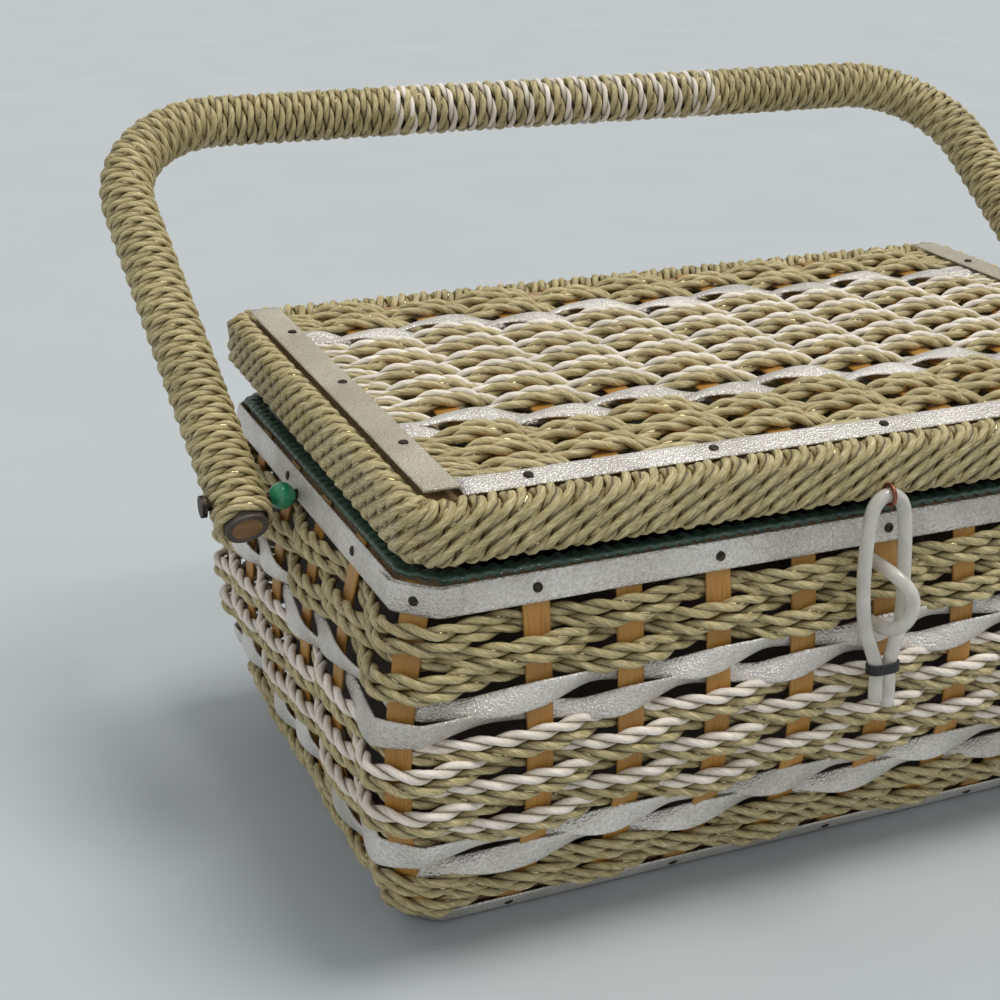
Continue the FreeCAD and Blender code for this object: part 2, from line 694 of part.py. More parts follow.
def lid_strand(row, y, width, thickness):
    """A strand across the lid, over one stake and under the next, ends lying on the inner frame."""
    lead = s.stake_width / 2 + s.strand_lead
    reach = s.stake_thickness / 2 + s.weave_clearance + thickness / 2
    end_rest = ledge_top + s.weave_clearance + thickness / 2
    inner_edge = panel_width - s.ledge_width
    strand_end = lid_half_width - s.lid_rim_width - s.strand_end_gap
    path = [(-strand_end, end_rest), (-inner_edge + s.strand_lead, end_rest)]
    for index, along in enumerate(front_line):
        level = panel_middle + (reach if (index + row) % 2 else -reach)
        path += [(along - lead, level), (along + lead, level)]
    path += [(inner_edge - s.strand_lead, end_rest), (strand_end, end_rest)]
    top = [Vector(x, y - width / 2, z + thickness / 2) for x, z in path]
    bottom = [Vector(x, y - width / 2, z - thickness / 2) for x, z in path]
    return flat_face(top + bottom[::-1]).extrude(Y_AXIS * width)


lid_rows = {"khaki": [], "white": [], "vinyl": []}
for row in range(1, LID_ROWS + 1):
    y = lid_row_start + (row - 1) * lid_row_pitch
    beside = (lid_cord_width + s.cord_gap) / 2
    if row in LID_VINYL_ROWS:
        lid_rows["vinyl"].append(lid_strand(row, y, lid_vinyl_width, s.vinyl_row_thickness))
        continue
    back_colour = "khaki" if row in LID_KHAKI_ROWS else "white"
    lid_rows["khaki"].append(lid_strand(row, y - beside, lid_cord_width, s.cord_thickness))
    lid_rows[back_colour].append(lid_strand(row, y + beside, lid_cord_width, s.cord_thickness))
for colour, strands in lid_rows.items():
    add_shape(f"lid_{colour}_weavers", Part.makeCompound(strands), lid_place)

strip_top = ledge_top + s.stake_thickness + s.strip_clearance
side_strip_level = ledge_top + s.weave_clearance + s.cord_thickness + s.strip_clearance
strip_boxes = []


def lid_strip(name, corner, length, width):
    strip = doc.addObject("Part::Box", name)
    strip.Length = length
    strip.Width = width
    strip.setExpression("Height", "sizes.strip_thickness")
    strip.Placement.Base = corner
    strip_boxes.append(strip)


front_strip_half = panel_width - s.side_strip_width - s.strip_clearance
lid_strip(
    "lid_front_strip",
    Vector(-front_strip_half, -panel_depth, strip_top),
    2 * front_strip_half,
    front_strip_width,
)
strip_reach = panel_depth - s.strip_end_gap
for name, corner_x in (
    ("lid_left_strip", -panel_width),
    ("lid_right_strip", panel_width - s.side_strip_width),
):
    lid_strip(name, Vector(corner_x, -strip_reach, side_strip_level), s.side_strip_width, 2 * strip_reach)
group("lid_strips", strip_boxes).Placement = lid_place

lid_nails = []
for along in front_line[0::2]:
    head = Vector(along, -panel_depth + front_strip_width / 2, strip_top + s.strip_thickness)
    lid_nails.append(nail(head, Z_AXIS))
nail_first = -strip_reach + s.front_nail_inset
nail_step = (strip_reach - s.back_nail_inset - nail_first) / (LID_SIDE_NAILS - 1)
for side in (-1, 1):
    for y in [nail_first + step * nail_step for step in range(LID_SIDE_NAILS)]:
        x = side * (panel_width - s.side_strip_width / 2)
        lid_nails.append(nail(Vector(x, y, side_strip_level + s.strip_thickness), Z_AXIS))
add_shape("lid_nails", Part.makeCompound(lid_nails), lid_place)


def crowned_pad():
    """Satin pad: drawn-in sides and a crown that hangs down into the basket."""
    top = s.ledge_level - s.wrap_clearance
    corner = s.lid_corner_radius
    pad_half_width = lid_half_width - s.lid_rim_width - s.pad_side_gap
    pad_half_depth = hinge_y - hinge_ring_radius - s.tube_diameter / 2 - s.pad_hinge_gap
    sections = []
    for draw_in, depth in ((0.25, 0.0), (0.0, 0.45), (0.15, 0.8), (0.9, 1.0)):
        inset = draw_in * s.pad_edge
        low = top - s.pad_edge * depth
        sections.append(rounded_wire(pad_half_width - inset, pad_half_depth - inset, corner, low))
    crown = 0.45 * pad_half_depth
    sections.append(
        rounded_wire(pad_half_width - crown, pad_half_depth - crown, corner, top - s.pad_thickness)
    )
    return Part.makeLoft(sections, True, True)


add_shape("lid_lining", crowned_pad(), lid_place)


# Tubes: straight runs joined by tangent arcs
def rounded_path(points, radii):
    """Wire through the points with each inner corner rounded to its radius."""
    edges = []
    start = points[0]
    for before, corner, after, radius in zip(points, points[1:], points[2:], radii):
        back = (before - corner).normalize()
        onward = (after - corner).normalize()
        half_turn = back.getAngle(onward) / 2
        reach = radius / math.tan(half_turn)
        first = corner + back * reach
        last = corner + onward * reach
        middle = corner + (back + onward).normalize() * (radius / math.sin(half_turn) - radius)
        if (first - start).Length > 1e-6:
            edges.append(Part.LineSegment(start, first).toShape())
        edges.append(Part.Arc(first, middle, last).toShape())
        start = last
    edges.append(Part.LineSegment(start, points[-1]).toShape())
    return Part.Wire(edges)


def tube(path, diameter):
    """Round rod along a path."""
    start = path.Edges[0].firstVertex().Point
    direction = path.Edges[0].tangentAt(path.Edges[0].FirstParameter)
    circle = Part.Wire(Part.makeCircle(diameter / 2, start, direction))
    rod = path.makePipeShell([circle], True, False)
    expected = math.pi * diameter * diameter / 4 * path.Length
    if abs(rod.Volume - expected) > 0.01 * expected:
        raise ValueError(f"tube volume {rod.Volume:.1f}, expected {expected:.1f}")
    return rod


# Latch loop, its binding thread and the wire staple that carries it
latch_axis = lid_place.multVec(
    Vector(latch_x, -lid_half_depth - s.latch_standoff, s.latch_level)
)
latch_place = Placement(latch_axis, Rotation(X_AXIS, -s.latch_lean))
catch_top = weave_top - s.catch_foot_drop
catch_low = catch_top - s.catch_height
neck_top = -(latch_axis.z - catch_low) / math.cos(math.radians(s.latch_lean))
latch_length = s.latch_drop - neck_top
pinch = s.tube_diameter / 2 + s.wrap_clearance
loop_points = [
    Vector(pinch, 0, -latch_length - s.thread_height / 2 - s.latch_tail),
    Vector(pinch, 0, -latch_length + s.thread_height),
    Vector(s.latch_half_width, 0, neck_top),
    Vector(s.latch_half_width, 0, 0),
    Vector(-s.latch_half_width, 0, 0),
    Vector(-s.latch_half_width, 0, neck_top),
    Vector(-pinch, 0, -latch_length + s.thread_height),
    Vector(-pinch, 0, -latch_length - s.thread_height),
]
neck_bend = 2.0 * s.tube_diameter
crown_bend = s.latch_half_width - s.wrap_clearance
loop_radii = [neck_bend, neck_bend, crown_bend, crown_bend, neck_bend, neck_bend]
add_shape("latch_loop", tube(rounded_path(loop_points, loop_radii), s.tube_diameter), latch_place)


def thread_band():
    """Black thread round the two strands, open where they pass through."""
    radius = s.tube_diameter / 2 + s.wrap_clearance / 2
    low = Vector(0, 0, -latch_length - s.thread_height / 2)
    outer = radius + s.thread_thickness
    drum = Part.makeBox(2 * pinch, 2 * outer, s.thread_height, low + Vector(-pinch, -outer, 0))
    for side in (-pinch, pinch):
        drum = drum.fuse(Part.makeCylinder(outer, s.thread_height, low + Vector(side, 0, 0), Z_AXIS))
    room = Part.makeBox(2 * pinch, 2 * radius, s.thread_height, low + Vector(-pinch, -radius, 0))
    for side in (-pinch, pinch):
        room = room.fuse(Part.makeCylinder(radius, s.thread_height, low + Vector(side, 0, 0), Z_AXIS))
    return drum.cut(room).removeSplitter()


add_shape("latch_thread", thread_band(), latch_place)

eye_radius = s.tube_diameter / 2 + s.staple_clearance + s.staple_wire / 2
eye = Part.makeTorus(eye_radius, s.staple_wire / 2, latch_axis, X_AXIS)
shank = Part.makeCylinder(
    s.staple_wire / 2, s.staple_length, latch_axis + Y_AXIS * eye_radius, Y_AXIS
)
add_shape("latch_staple", eye.fuse(shank).removeSplitter())

catch_bend = 0.42 * s.catch_height
catch_wall = -half_depth(catch_top)
catch_root = catch_wall + s.catch_root
catch_front = catch_wall - s.catch_reach + s.tube_diameter / 2
catch_points = [
    Vector(latch_x, catch_root, catch_top),
    Vector(latch_x, catch_front, catch_top),
    Vector(latch_x, catch_front, catch_low),
    Vector(latch_x, catch_root, catch_low),
]
add_shape("catch_loop", tube(rounded_path(catch_points, [catch_bend, catch_bend]), s.tube_diameter))

# Handle: drawn upright about its pivot axis, then leaned back
pivot = Vector(0, s.pivot_y, s.wall_height - s.pivot_drop)
handle_place = Placement(pivot, Rotation(X_AXIS, -s.handle_lean))
bead_room = s.bead_diameter + 2 * s.bead_clearance
handle_half_width = half_width(pivot.z) + strip_outer + bead_room + s.handle_wrap_diameter / 2
grip_half = handle_half_width + s.handle_splay
spread_rate = s.handle_splay / s.handle_reach


def leg_x(height):
    return handle_half_width + spread_rate * height


def handle_path(points):
    corners = len(points) - 2
    return rounded_path(points, [s.handle_bend] * corners)


bail_points = [
    Vector(-leg_x(-s.handle_stub), 0, -s.handle_stub),
    Vector(-grip_half, 0, s.handle_reach),
    Vector(grip_half, 0, s.handle_reach),
    Vector(leg_x(-s.handle_stub), 0, -s.handle_stub),
]
pin_hole = Part.makeCylinder(
    s.pin_diameter / 2 + s.pin_clearance, 4 * grip_half, Vector(-2 * grip_half, 0, 0), X_AXIS
)
bail = handle_path(bail_points)
rod = tube(bail, s.handle_core_diameter)
sleeve = tube(bail, s.handle_tube_diameter).cut(tube(bail, s.handle_core_diameter + 2 * s.handle_fit))
add_shape("handle_core", rod.cut(pin_hole), handle_place)
add_shape("handle_tube", sleeve.cut(pin_hole), handle_place)

wrap_low = -s.handle_stub + s.wrap_start
for label, side in (("left_handle_wrap", -1), ("right_handle_wrap", 1)):
    half_points = [
        Vector(side * leg_x(wrap_low), 0, wrap_low),
        Vector(side * grip_half, 0, s.handle_reach),
        Vector(side * s.binding_half_length, 0, s.handle_reach),
    ]
    route = handle_path(half_points)
    cover = tube(route, s.handle_wrap_diameter).cut(
        tube(route, s.handle_tube_diameter + 2 * s.handle_fit)
    )
    add_shape(label, cover.cut(pin_hole), handle_place)


def arc_from(start, tangent, end):
    """Circular arc that leaves start along tangent and arrives at end."""
    chord = end - start
    along = Vector(chord).normalize()
    bend = tangent.getAngle(along)
    side = (tangent - along * tangent.dot(along)).normalize()
    middle = start + chord * 0.5 + side * (chord.Length / 2 * math.tan(bend / 2))
    return Part.Arc(start, middle, end).toShape()


def biarc(start, start_tangent, end, end_tangent):
    """Two arcs with a common tangent where they meet."""
    chord = end - start
    total = start_tangent + end_tangent
    a = 2.0 * (1.0 - start_tangent.dot(end_tangent))
    b = 2.0 * chord.dot(total)
    c = -chord.dot(chord)
    reach = (-b + math.sqrt(b * b - 4.0 * a * c)) / (2.0 * a)
    joint = (start + start_tangent * reach + end - end_tangent * reach) * 0.5
    second_tangent = (end - end_tangent * reach - joint).normalize()
    return [arc_from(start, start_tangent, joint), arc_from(joint, second_tangent, end)]


QUARTERS = 4


def winding(phase, pitch, radius, turns, first_x):
    """Cord wound on the grip: biarcs of a quarter turn, with a straight lead at each end."""
    rate = pitch / (2.0 * math.pi)
    points = []
    tangents = []
    for step in range(int(turns) * QUARTERS + 1):
        angle = phase + step * 2.0 * math.pi / QUARTERS
        x = first_x + step * pitch / QUARTERS
        points.append(Vector(x, radius * math.cos(angle), s.handle_reach + radius * math.sin(angle)))
        tangents.append(Vector(rate, -radius * math.sin(angle), radius * math.cos(angle)).normalize())
    edges = [Part.LineSegment(points[0] - tangents[0] * s.binding_cord, points[0]).toShape()]
    for k in range(len(points) - 1):
        edges += biarc(points[k], tangents[k], points[k + 1], tangents[k + 1])
    edges.append(Part.LineSegment(points[-1], points[-1] + tangents[-1] * s.binding_cord).toShape())
    return Part.Wire(edges)


def least_gap(route, diameter, pitch):
    """Smallest clear distance between one turn of a cord and the next, on points."""
    samples = route.discretize(Distance=0.5)
    per_turn = int(route.Length / (s.binding_turns + 0.2) / 0.5)
    least = pitch
    for k in range(0, len(samples) - per_turn - per_turn // 4, 3):
        for other in samples[k + per_turn - per_turn // 4:k + per_turn + per_turn // 4]:
            least = min(least, samples[k].distanceToPoint(other))
    return least - diameter


binding_radius = s.handle_tube_diameter / 2 + s.handle_fit + s.binding_cord / 2
lead_room = s.binding_cord
binding_pitch = 2.0 * (s.binding_half_length - lead_room) / (s.binding_turns + 0.5)
for label, shift in (("white_grip_binding", 0.0), ("khaki_grip_binding", 0.5)):
    first_x = -s.binding_half_length + lead_room + shift * binding_pitch
    route = winding(0.0, binding_pitch, binding_radius, s.binding_turns, first_x)
    print(label, "least gap to itself", round(least_gap(route, s.binding_cord, binding_pitch), 2))
    add_shape(label, tube(route, s.binding_cord), handle_place)

# Pivot pins and spacer beads
pin_root = half_width(pivot.z) + lath_inner
pin_shoulder = handle_half_width + s.handle_wrap_diameter / 2 + s.lining_gap
pins = []
beads = []
bead_x = half_width(pivot.z) + strip_outer + bead_room / 2
for name, side in (("left", -1), ("right", 1)):
    shaft = Part.makeCylinder(
        s.pin_diameter / 2, pin_shoulder - pin_root, pivot + X_AXIS * (side * pin_root), X_AXIS * side
    )
    head = Part.makeCylinder(
        s.pin_head_diameter / 2, s.pin_head_height, pivot + X_AXIS * (side * pin_shoulder), X_AXIS * side
    )
    pins.append(shaft.fuse(head).removeSplitter())
    ball = doc.addObject("Part::Sphere", f"{name}_bead_ball")
    ball.setExpression("Radius", "sizes.bead_diameter / 2")
    ball.Placement.Base = pivot + X_AXIS * (side * bead_x)
    bore = doc.addObject("Part::Cylinder", f"{name}_bead_bore")
    bore.setExpression("Radius", "sizes.pin_diameter / 2 + sizes.pin_clearance")
    bore.setExpression("Height", "2 * sizes.bead_diameter")
    bore.Placement = Placement(
        pivot + X_AXIS * (side * bead_x - s.bead_diameter), Rotation(Y_AXIS, 90)
    )
    bead = doc.addObject("Part::Cut", f"{name}_bead")
    bead.Base = ball
    bead.Tool = bore
    beads.append(bead)
add_shape("pivot_pins", Part.makeCompound(pins))
group("pivot_beads", beads)

# Check and write
doc.recompute()
faults = []
for item in doc.Objects:
    if "Invalid" in item.State or "Error" in item.State:
        faults.append(f"{item.Name}: {item.State}")
for label, feature in parts.items():
    shape = feature.Shape
    if shape.isNull() or not shape.isValid() or not shape.Solids:
        faults.append(f"{label}: shape not usable")
if faults:
    raise RuntimeError("; ".join(faults))
os.makedirs("parts", exist_ok=True)
for label, feature in parts.items():
    feature.Shape.exportStep(f"parts/{label}.step")
print(len(parts), "sub-parts written")
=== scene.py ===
"""Looks of the wicker sewing basket: twisted paper cord, pearly vinyl, bamboo and satin.

Every new piece is a grid of points in millimetres, worked out whole with numpy in the CAD's frame:
X along the long front, Y towards the hinges, Z up from the floor.
"""

import math

import bpy
import numpy as np
from mathutils import Matrix, Vector


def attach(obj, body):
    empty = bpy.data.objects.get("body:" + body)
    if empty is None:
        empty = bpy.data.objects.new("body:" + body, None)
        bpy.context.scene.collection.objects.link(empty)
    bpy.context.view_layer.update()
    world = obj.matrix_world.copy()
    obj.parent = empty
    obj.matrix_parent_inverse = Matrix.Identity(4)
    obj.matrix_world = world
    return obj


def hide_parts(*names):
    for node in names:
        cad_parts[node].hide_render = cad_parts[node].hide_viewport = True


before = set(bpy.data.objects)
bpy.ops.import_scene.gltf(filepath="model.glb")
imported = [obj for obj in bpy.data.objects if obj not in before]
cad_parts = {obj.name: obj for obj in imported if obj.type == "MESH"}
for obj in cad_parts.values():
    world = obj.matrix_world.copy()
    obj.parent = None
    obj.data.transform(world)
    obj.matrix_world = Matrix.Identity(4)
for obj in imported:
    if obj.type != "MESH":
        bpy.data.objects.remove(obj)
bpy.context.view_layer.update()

MM = 0.001
TURN = 2.0 * math.pi
UP = np.array([0.0, 0.0, 1.0])

# Wall of the basket
RIM_HALF_WIDTH = 136.5
RIM_HALF_DEPTH = 84.0
WALL_HEIGHT = 112.0
WALL_CORNER = 8.0
SIDE_BULGE, FRONT_BULGE = 9.0, 5.0
SIDE_TUCK, FRONT_TUCK = 6.0, 21.0
TUCK_HEIGHT = 60.0
STAKE_PITCH, SIDE_STAKE_PITCH = 26.0, 31.0
FRONT_STAKES = np.arange(-4, 5) * STAKE_PITCH
SIDE_STAKES = np.arange(-1.5, 2.0) * SIDE_STAKE_PITCH
STAKE_WIDTH, STAKE_THICKNESS = 7.5, 1.2
RIM_STRIP, FLOOR_STRIP = (104.0, 112.0), (0.6, 7.2)
RIM_NAIL_LEVEL, FLOOR_NAIL_LEVEL = 108.0, 3.8

# Woven rows
TOP_ROW, ROW_PITCH, ROWS = 98.6, 6.2, 15
KHAKI_ROWS = (1, 2, 3, 13, 14, 15)
VINYL_ROWS = (4, 5, 11, 12)
ROW_POINTS = 900
CORD_RADIUS = 1.95
CORD_LAY = 17.5

# Lid
LID_HALF_WIDTH, LID_HALF_DEPTH = 140.0, 91.0
LID_CORNER = 8.0
LID_RIM_HEIGHT, LID_RIM_WIDTH = 17.6, 9.2
LID_TILT = math.radians(1.7)
LID_GAP = 5.5
LID_ROWS, LID_ROW_REACH = 23, 72.648
LID_ROW_PITCH = 2 * LID_ROW_REACH / (LID_ROWS - 1)
LID_ROW_END, LID_ROW_POINTS = 125.5, 252
SETTLE_START, SETTLE_RUN = 108.0, 12.0
LID_KHAKI_ROWS = (1, 2, 3, 4, 5, 21, 22, 23)
LID_VINYL_ROWS = (6, 7, 19, 20)
LID_STAKE_LEVEL = 15.6
FRONT_STRIP_Y, FRONT_STRIP_LEVEL = -79.6, 17.3
SIDE_STRIP_X, SIDE_STRIP_LEVEL = 127.6, 18.5
SIDE_NAIL_X, SIDE_NAIL_LEVEL = 126.4, 19.1
SIDE_NAIL_YS = (-50.5, 1.0, 52.5)

# Handle
PIVOT_Y, PIVOT_Z = 5.0, 106.0
HANDLE_HALF_WIDTH, HANDLE_SPLAY = 157.5, 8.0
HANDLE_REACH, HANDLE_STUB, HANDLE_BEND = 160.0, 10.0, 38.0
HANDLE_LEAN = math.radians(57.0)
HANDLE_PITCH = 3.45
GRIP_HALF, GRIP_INSET, GRIP_TURNS = 64.0, 1.6, 16.5
WRAP_RADIUS = 7.5

# Latch
LATCH_X = -6.0
TUBE_RADIUS = 1.95


# Arrays
def unit(vectors):
    """Each vector divided by its length."""
    return vectors / np.linalg.norm(vectors, axis=-1, keepdims=True)


def run_length(path):
    """Distance travelled along a path at each of its points."""
    steps = np.linalg.norm(np.diff(path, axis=0), axis=1)
    return np.concatenate([[0.0], np.cumsum(steps)])


def even_steps(path, step):
    """The same path at points an even step apart."""
    travelled = run_length(path)
    count = max(4, int(round(travelled[-1] / step)) + 1)
    places = np.linspace(0.0, travelled[-1], count)
    return np.stack([np.interp(places, travelled, path[:, k]) for k in range(3)], axis=1)


def headings(path, closed):
    """Direction of travel: the central difference of neighbouring points."""
    if closed:
        return unit(np.roll(path, -1, axis=0) - np.roll(path, 1, axis=0))
    return unit(np.gradient(path, axis=0))


def smooth(value):
    """0 below 0, 1 above 1, an S-shaped rise between."""
    value = np.clip(value, 0.0, 1.0)
    return value * value * (3.0 - 2.0 * value)


def wander(places, size, seed):
    """Slow hand-made drift: three sine waves with seeded phases."""
    phases = np.random.default_rng(seed).uniform(0.0, TURN, 3)
    waves = [np.sin(places * rate + phase) for rate, phase in zip((0.42, 1.07, 2.31), phases)]
    return size * (waves[0] + 0.6 * waves[1] + 0.4 * waves[2]) / 2.0


def spline(points, step):
    """Smooth path through points: each span is a cubic whose end slopes are half the neighbours' difference."""
    points = np.asarray(points, float)
    padded = np.vstack([2 * points[0] - points[1], points, 2 * points[-1] - points[-2]])
    t = np.linspace(0.0, 1.0, 24, endpoint=False)[:, None]
    spans = []
    for before, first, last, after in zip(padded, padded[1:], padded[2:], padded[3:]):
        slope_in, slope_out = (last - before) / 2, (after - first) / 2
        spans.append(
            (2 * t**3 - 3 * t**2 + 1) * first
            + (t**3 - 2 * t**2 + t) * slope_in
            + (3 * t**2 - 2 * t**3) * last
            + (t**3 - t**2) * slope_out
        )
    return even_steps(np.vstack(spans + [points[-1:]]), step)


# Patches: a grid of points that closes on itself around, its map in the texture, and whether it closes along
def patch(points, uv, closed_along=False):
    return {"points": points, "uv": uv, "along": closed_along}


def way_along(path, closed):
    """Distance travelled at each point, and back at the first one if the path is closed."""
    return run_length(np.vstack([path, path[:1]]) if closed else path)


def section_frame(path, out, closed):
    """Two directions square to the path: across it and out of it."""
    heading = headings(path, closed)
    out = unit(out - heading * np.sum(out * heading, axis=1, keepdims=True))
    return np.cross(out, heading), out


def ring_points(path, across, out, reach, angle, flat=(1.0, 1.0)):
    """Points at distance reach all round each point of a path, squeezed across and outwards by flat."""
    high = reach * np.cos(angle[:-1]) * flat[0]
    deep = reach * np.sin(angle[:-1]) * flat[1]
    return path[:, None, :] + across[:, None, :] * high[..., None] + out[:, None, :] * deep[..., None]


def ring_map(length, angle, around_shift):
    """Texture map of a tube: millimetres along it, and turns around it from a ply's middle."""
    u = np.repeat(length[:, None], len(angle), axis=1)
    v = angle[None, :] / TURN - around_shift[:, None]
    return np.stack([u, v], axis=-1)


def cord_patch(path, out, radius, closed=False, lay=CORD_LAY, sides=14, flat=(1.0, 1.0), start=0.0):
    """Two-ply twisted cord. Its section is the outline of two overlapping circles,
    r = c |cos a| + sqrt(b^2 - c^2 sin^2 a), turning once in every lay length; flat squeezes it
    across and outwards."""
    across, out = section_frame(path, out, closed)
    travelled = way_along(path, closed)
    total = travelled[-1]
    if closed:
        lay = total / max(1.0, round(total / lay))
    phase = TURN * (travelled / lay) + start
    radius = np.broadcast_to(radius, (len(path),))
    angle = np.linspace(0.0, TURN, sides + 1)
    turned = angle[None, :-1] - phase[: len(path), None]
    ply, offset = 0.57, 0.43
    outline = offset * np.abs(np.cos(turned)) + np.sqrt(ply**2 - (offset * np.sin(turned)) ** 2)
    points = ring_points(path, across, out, outline * radius[:, None], angle, flat)
    return patch(points, ring_map(travelled, angle, phase / TURN), closed_along=closed)


def tube_patch(path, out, radius, sides=16):
    """Plain round tube along an open path."""
    across, out = section_frame(path, out, False)
    angle = np.linspace(0.0, TURN, sides + 1)
    reach = np.full((len(path), 1), radius)
    return patch(ring_points(path, across, out, reach, angle), ring_map(run_length(path), angle, np.zeros(len(path))))


def band_patch(path, out, half_height, half_thickness, tilt=0.0, crown=0.0, closed=False):
    """Flat strip with rounded edges: a squared ellipse carried along a path, turned about the
    path by tilt, its middle pushed outwards by crown."""
    across, out = section_frame(path, out, closed)
    travelled = way_along(path, closed)
    count = len(path)
    half_height = np.broadcast_to(half_height, (count,))[:, None]
    tilt = np.broadcast_to(tilt, (count,))[:, None]
    angle = np.linspace(0.0, TURN, 21)
    cosine, sine = np.cos(angle[:-1]), np.sin(angle[:-1])
    wide = np.sign(cosine) * np.abs(cosine) ** 0.55 * half_height
    thick = np.sign(sine) * np.abs(sine) ** 0.55 * half_thickness + crown * (1 - (wide / half_height) ** 2)
    high = wide * np.cos(tilt) - thick * np.sin(tilt)
    deep = wide * np.sin(tilt) + thick * np.cos(tilt)
    points = path[:, None, :] + across[:, None, :] * high[..., None] + out[:, None, :] * deep[..., None]
    u = np.repeat(travelled[:, None], len(angle), axis=1)
    height = np.concatenate([wide, wide[:, :1]], axis=1)
    if closed:
        height = np.concatenate([height, height[:1]], axis=0)
    return patch(points, np.stack([u, height], axis=-1), closed_along=closed)


def turned_patch(profile, centre, axis, sides=14):
    """Profile of (radius, height) pairs spun about an axis through centre."""
    axis = unit(np.asarray(axis, float))
    helper = UP if abs(axis[2]) < 0.9 else np.array([1.0, 0.0, 0.0])
    side = unit(np.cross(axis, helper))
    other = np.cross(axis, side)
    angle = np.linspace(0.0, TURN, sides + 1)
    ring = np.cos(angle[:-1])[:, None] * side + np.sin(angle[:-1])[:, None] * other
    profile = np.asarray(profile, float)
    points = np.asarray(centre) + profile[:, None, :1] * ring[None] + profile[:, None, 1:] * axis
    uv = np.stack(np.broadcast_arrays(profile[:, None, 1], angle[None, :] / TURN), axis=-1)
    return patch(points, uv)


def slab_patch(u, inner, outer):
    """Thin slab between two grids of points; the map marks all but the inner face as backing."""
    points = np.concatenate([inner, outer[:, ::-1]], axis=1)
    backing = np.where(np.arange(points.shape[1] + 1) < inner.shape[1] - 1, 0.0, 2.0)
    return patch(points, np.stack(np.broadcast_arrays(u, backing[None, :]), axis=-1))


def set_down(item, angle, place):
    """A patch turned about the X axis by an angle, then moved to its place."""
    x, y, z = np.moveaxis(item["points"], -1, 0)
    cosine, sine = math.cos(angle), math.sin(angle)
    turned = np.stack([x, y * cosine - z * sine, y * sine + z * cosine], axis=-1)
    return {**item, "points": turned + place}


# Meshes
def grid_faces(points, closed_along):
    """Vertex numbers of a grid's quads, and the map places that their corners take."""
    rows, columns = points.shape[:2]
    number = np.arange(rows * columns).reshape(rows, columns)
    spot_rows = rows + closed_along
    spot = np.arange(spot_rows * (columns + 1)).reshape(spot_rows, columns + 1)
    if closed_along:
        number = np.vstack([number, number[:1]])
    number = np.hstack([number, number[:, :1]])

    def corners(grid):
        return np.stack([grid[:-1, :-1], grid[:-1, 1:], grid[1:, 1:], grid[1:, :-1]], axis=-1).reshape(-1, 4)

    return corners(number), corners(spot)


def make_mesh(name, patches):
    """One mesh from all the patches, with flat ends on the open ones and their maps in a UV layer."""
    vertices, loops, starts, uvs = [], [], [], []
    vertex_count, loop_count = 0, 0
    for item in patches:
        points, uv = item["points"], item["uv"]
        numbers, spots = grid_faces(points, item["along"])
        vertices.append(points.reshape(-1, 3))
        loops.append(numbers.ravel() + vertex_count)
        uvs.append(uv.reshape(-1, 2)[spots.ravel()])
        starts.append(loop_count + 4 * np.arange(len(numbers)))
        loop_count += numbers.size
        if not item["along"]:
            columns = points.shape[1]
            last = (points.shape[0] - 1) * columns
            for ring in (np.arange(columns)[::-1], last + np.arange(columns)):
                loops.append(ring + vertex_count)
                uvs.append(np.repeat(uv[:1, 0], columns, axis=0))
                starts.append(np.array([loop_count]))
                loop_count += columns
        vertex_count += points.shape[0] * points.shape[1]
    mesh = bpy.data.meshes.new(name)
    mesh.vertices.add(vertex_count)
    mesh.vertices.foreach_set("co", (np.concatenate(vertices) * MM).astype(np.float32).ravel())
    mesh.loops.add(loop_count)
    mesh.loops.foreach_set("vertex_index", np.concatenate(loops).astype(np.int32))
    starts = np.concatenate(starts).astype(np.int32)
    mesh.polygons.add(len(starts))
    mesh.polygons.foreach_set("loop_start", starts)
    layer = mesh.uv_layers.new(name="strand")
    layer.data.foreach_set("uv", np.concatenate(uvs).astype(np.float32).ravel())
    mesh.update(calc_edges=True)
    mesh.shade_smooth()
    return mesh


def add_object(name, data):
    """A new object in the scene."""
    thing = bpy.data.objects.new(name, data)
    bpy.context.scene.collection.objects.link(thing)
    return thing


def add_piece(name, patches, material, body, nodes=()):
    """A finished piece: its mesh, finish, the body it rides on and the CAD nodes it stands for."""
    piece = add_object(name, make_mesh(name, patches))
    piece.data.materials.append(material)
    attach(piece, body)
    if nodes:
        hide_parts(*nodes)
    return piece


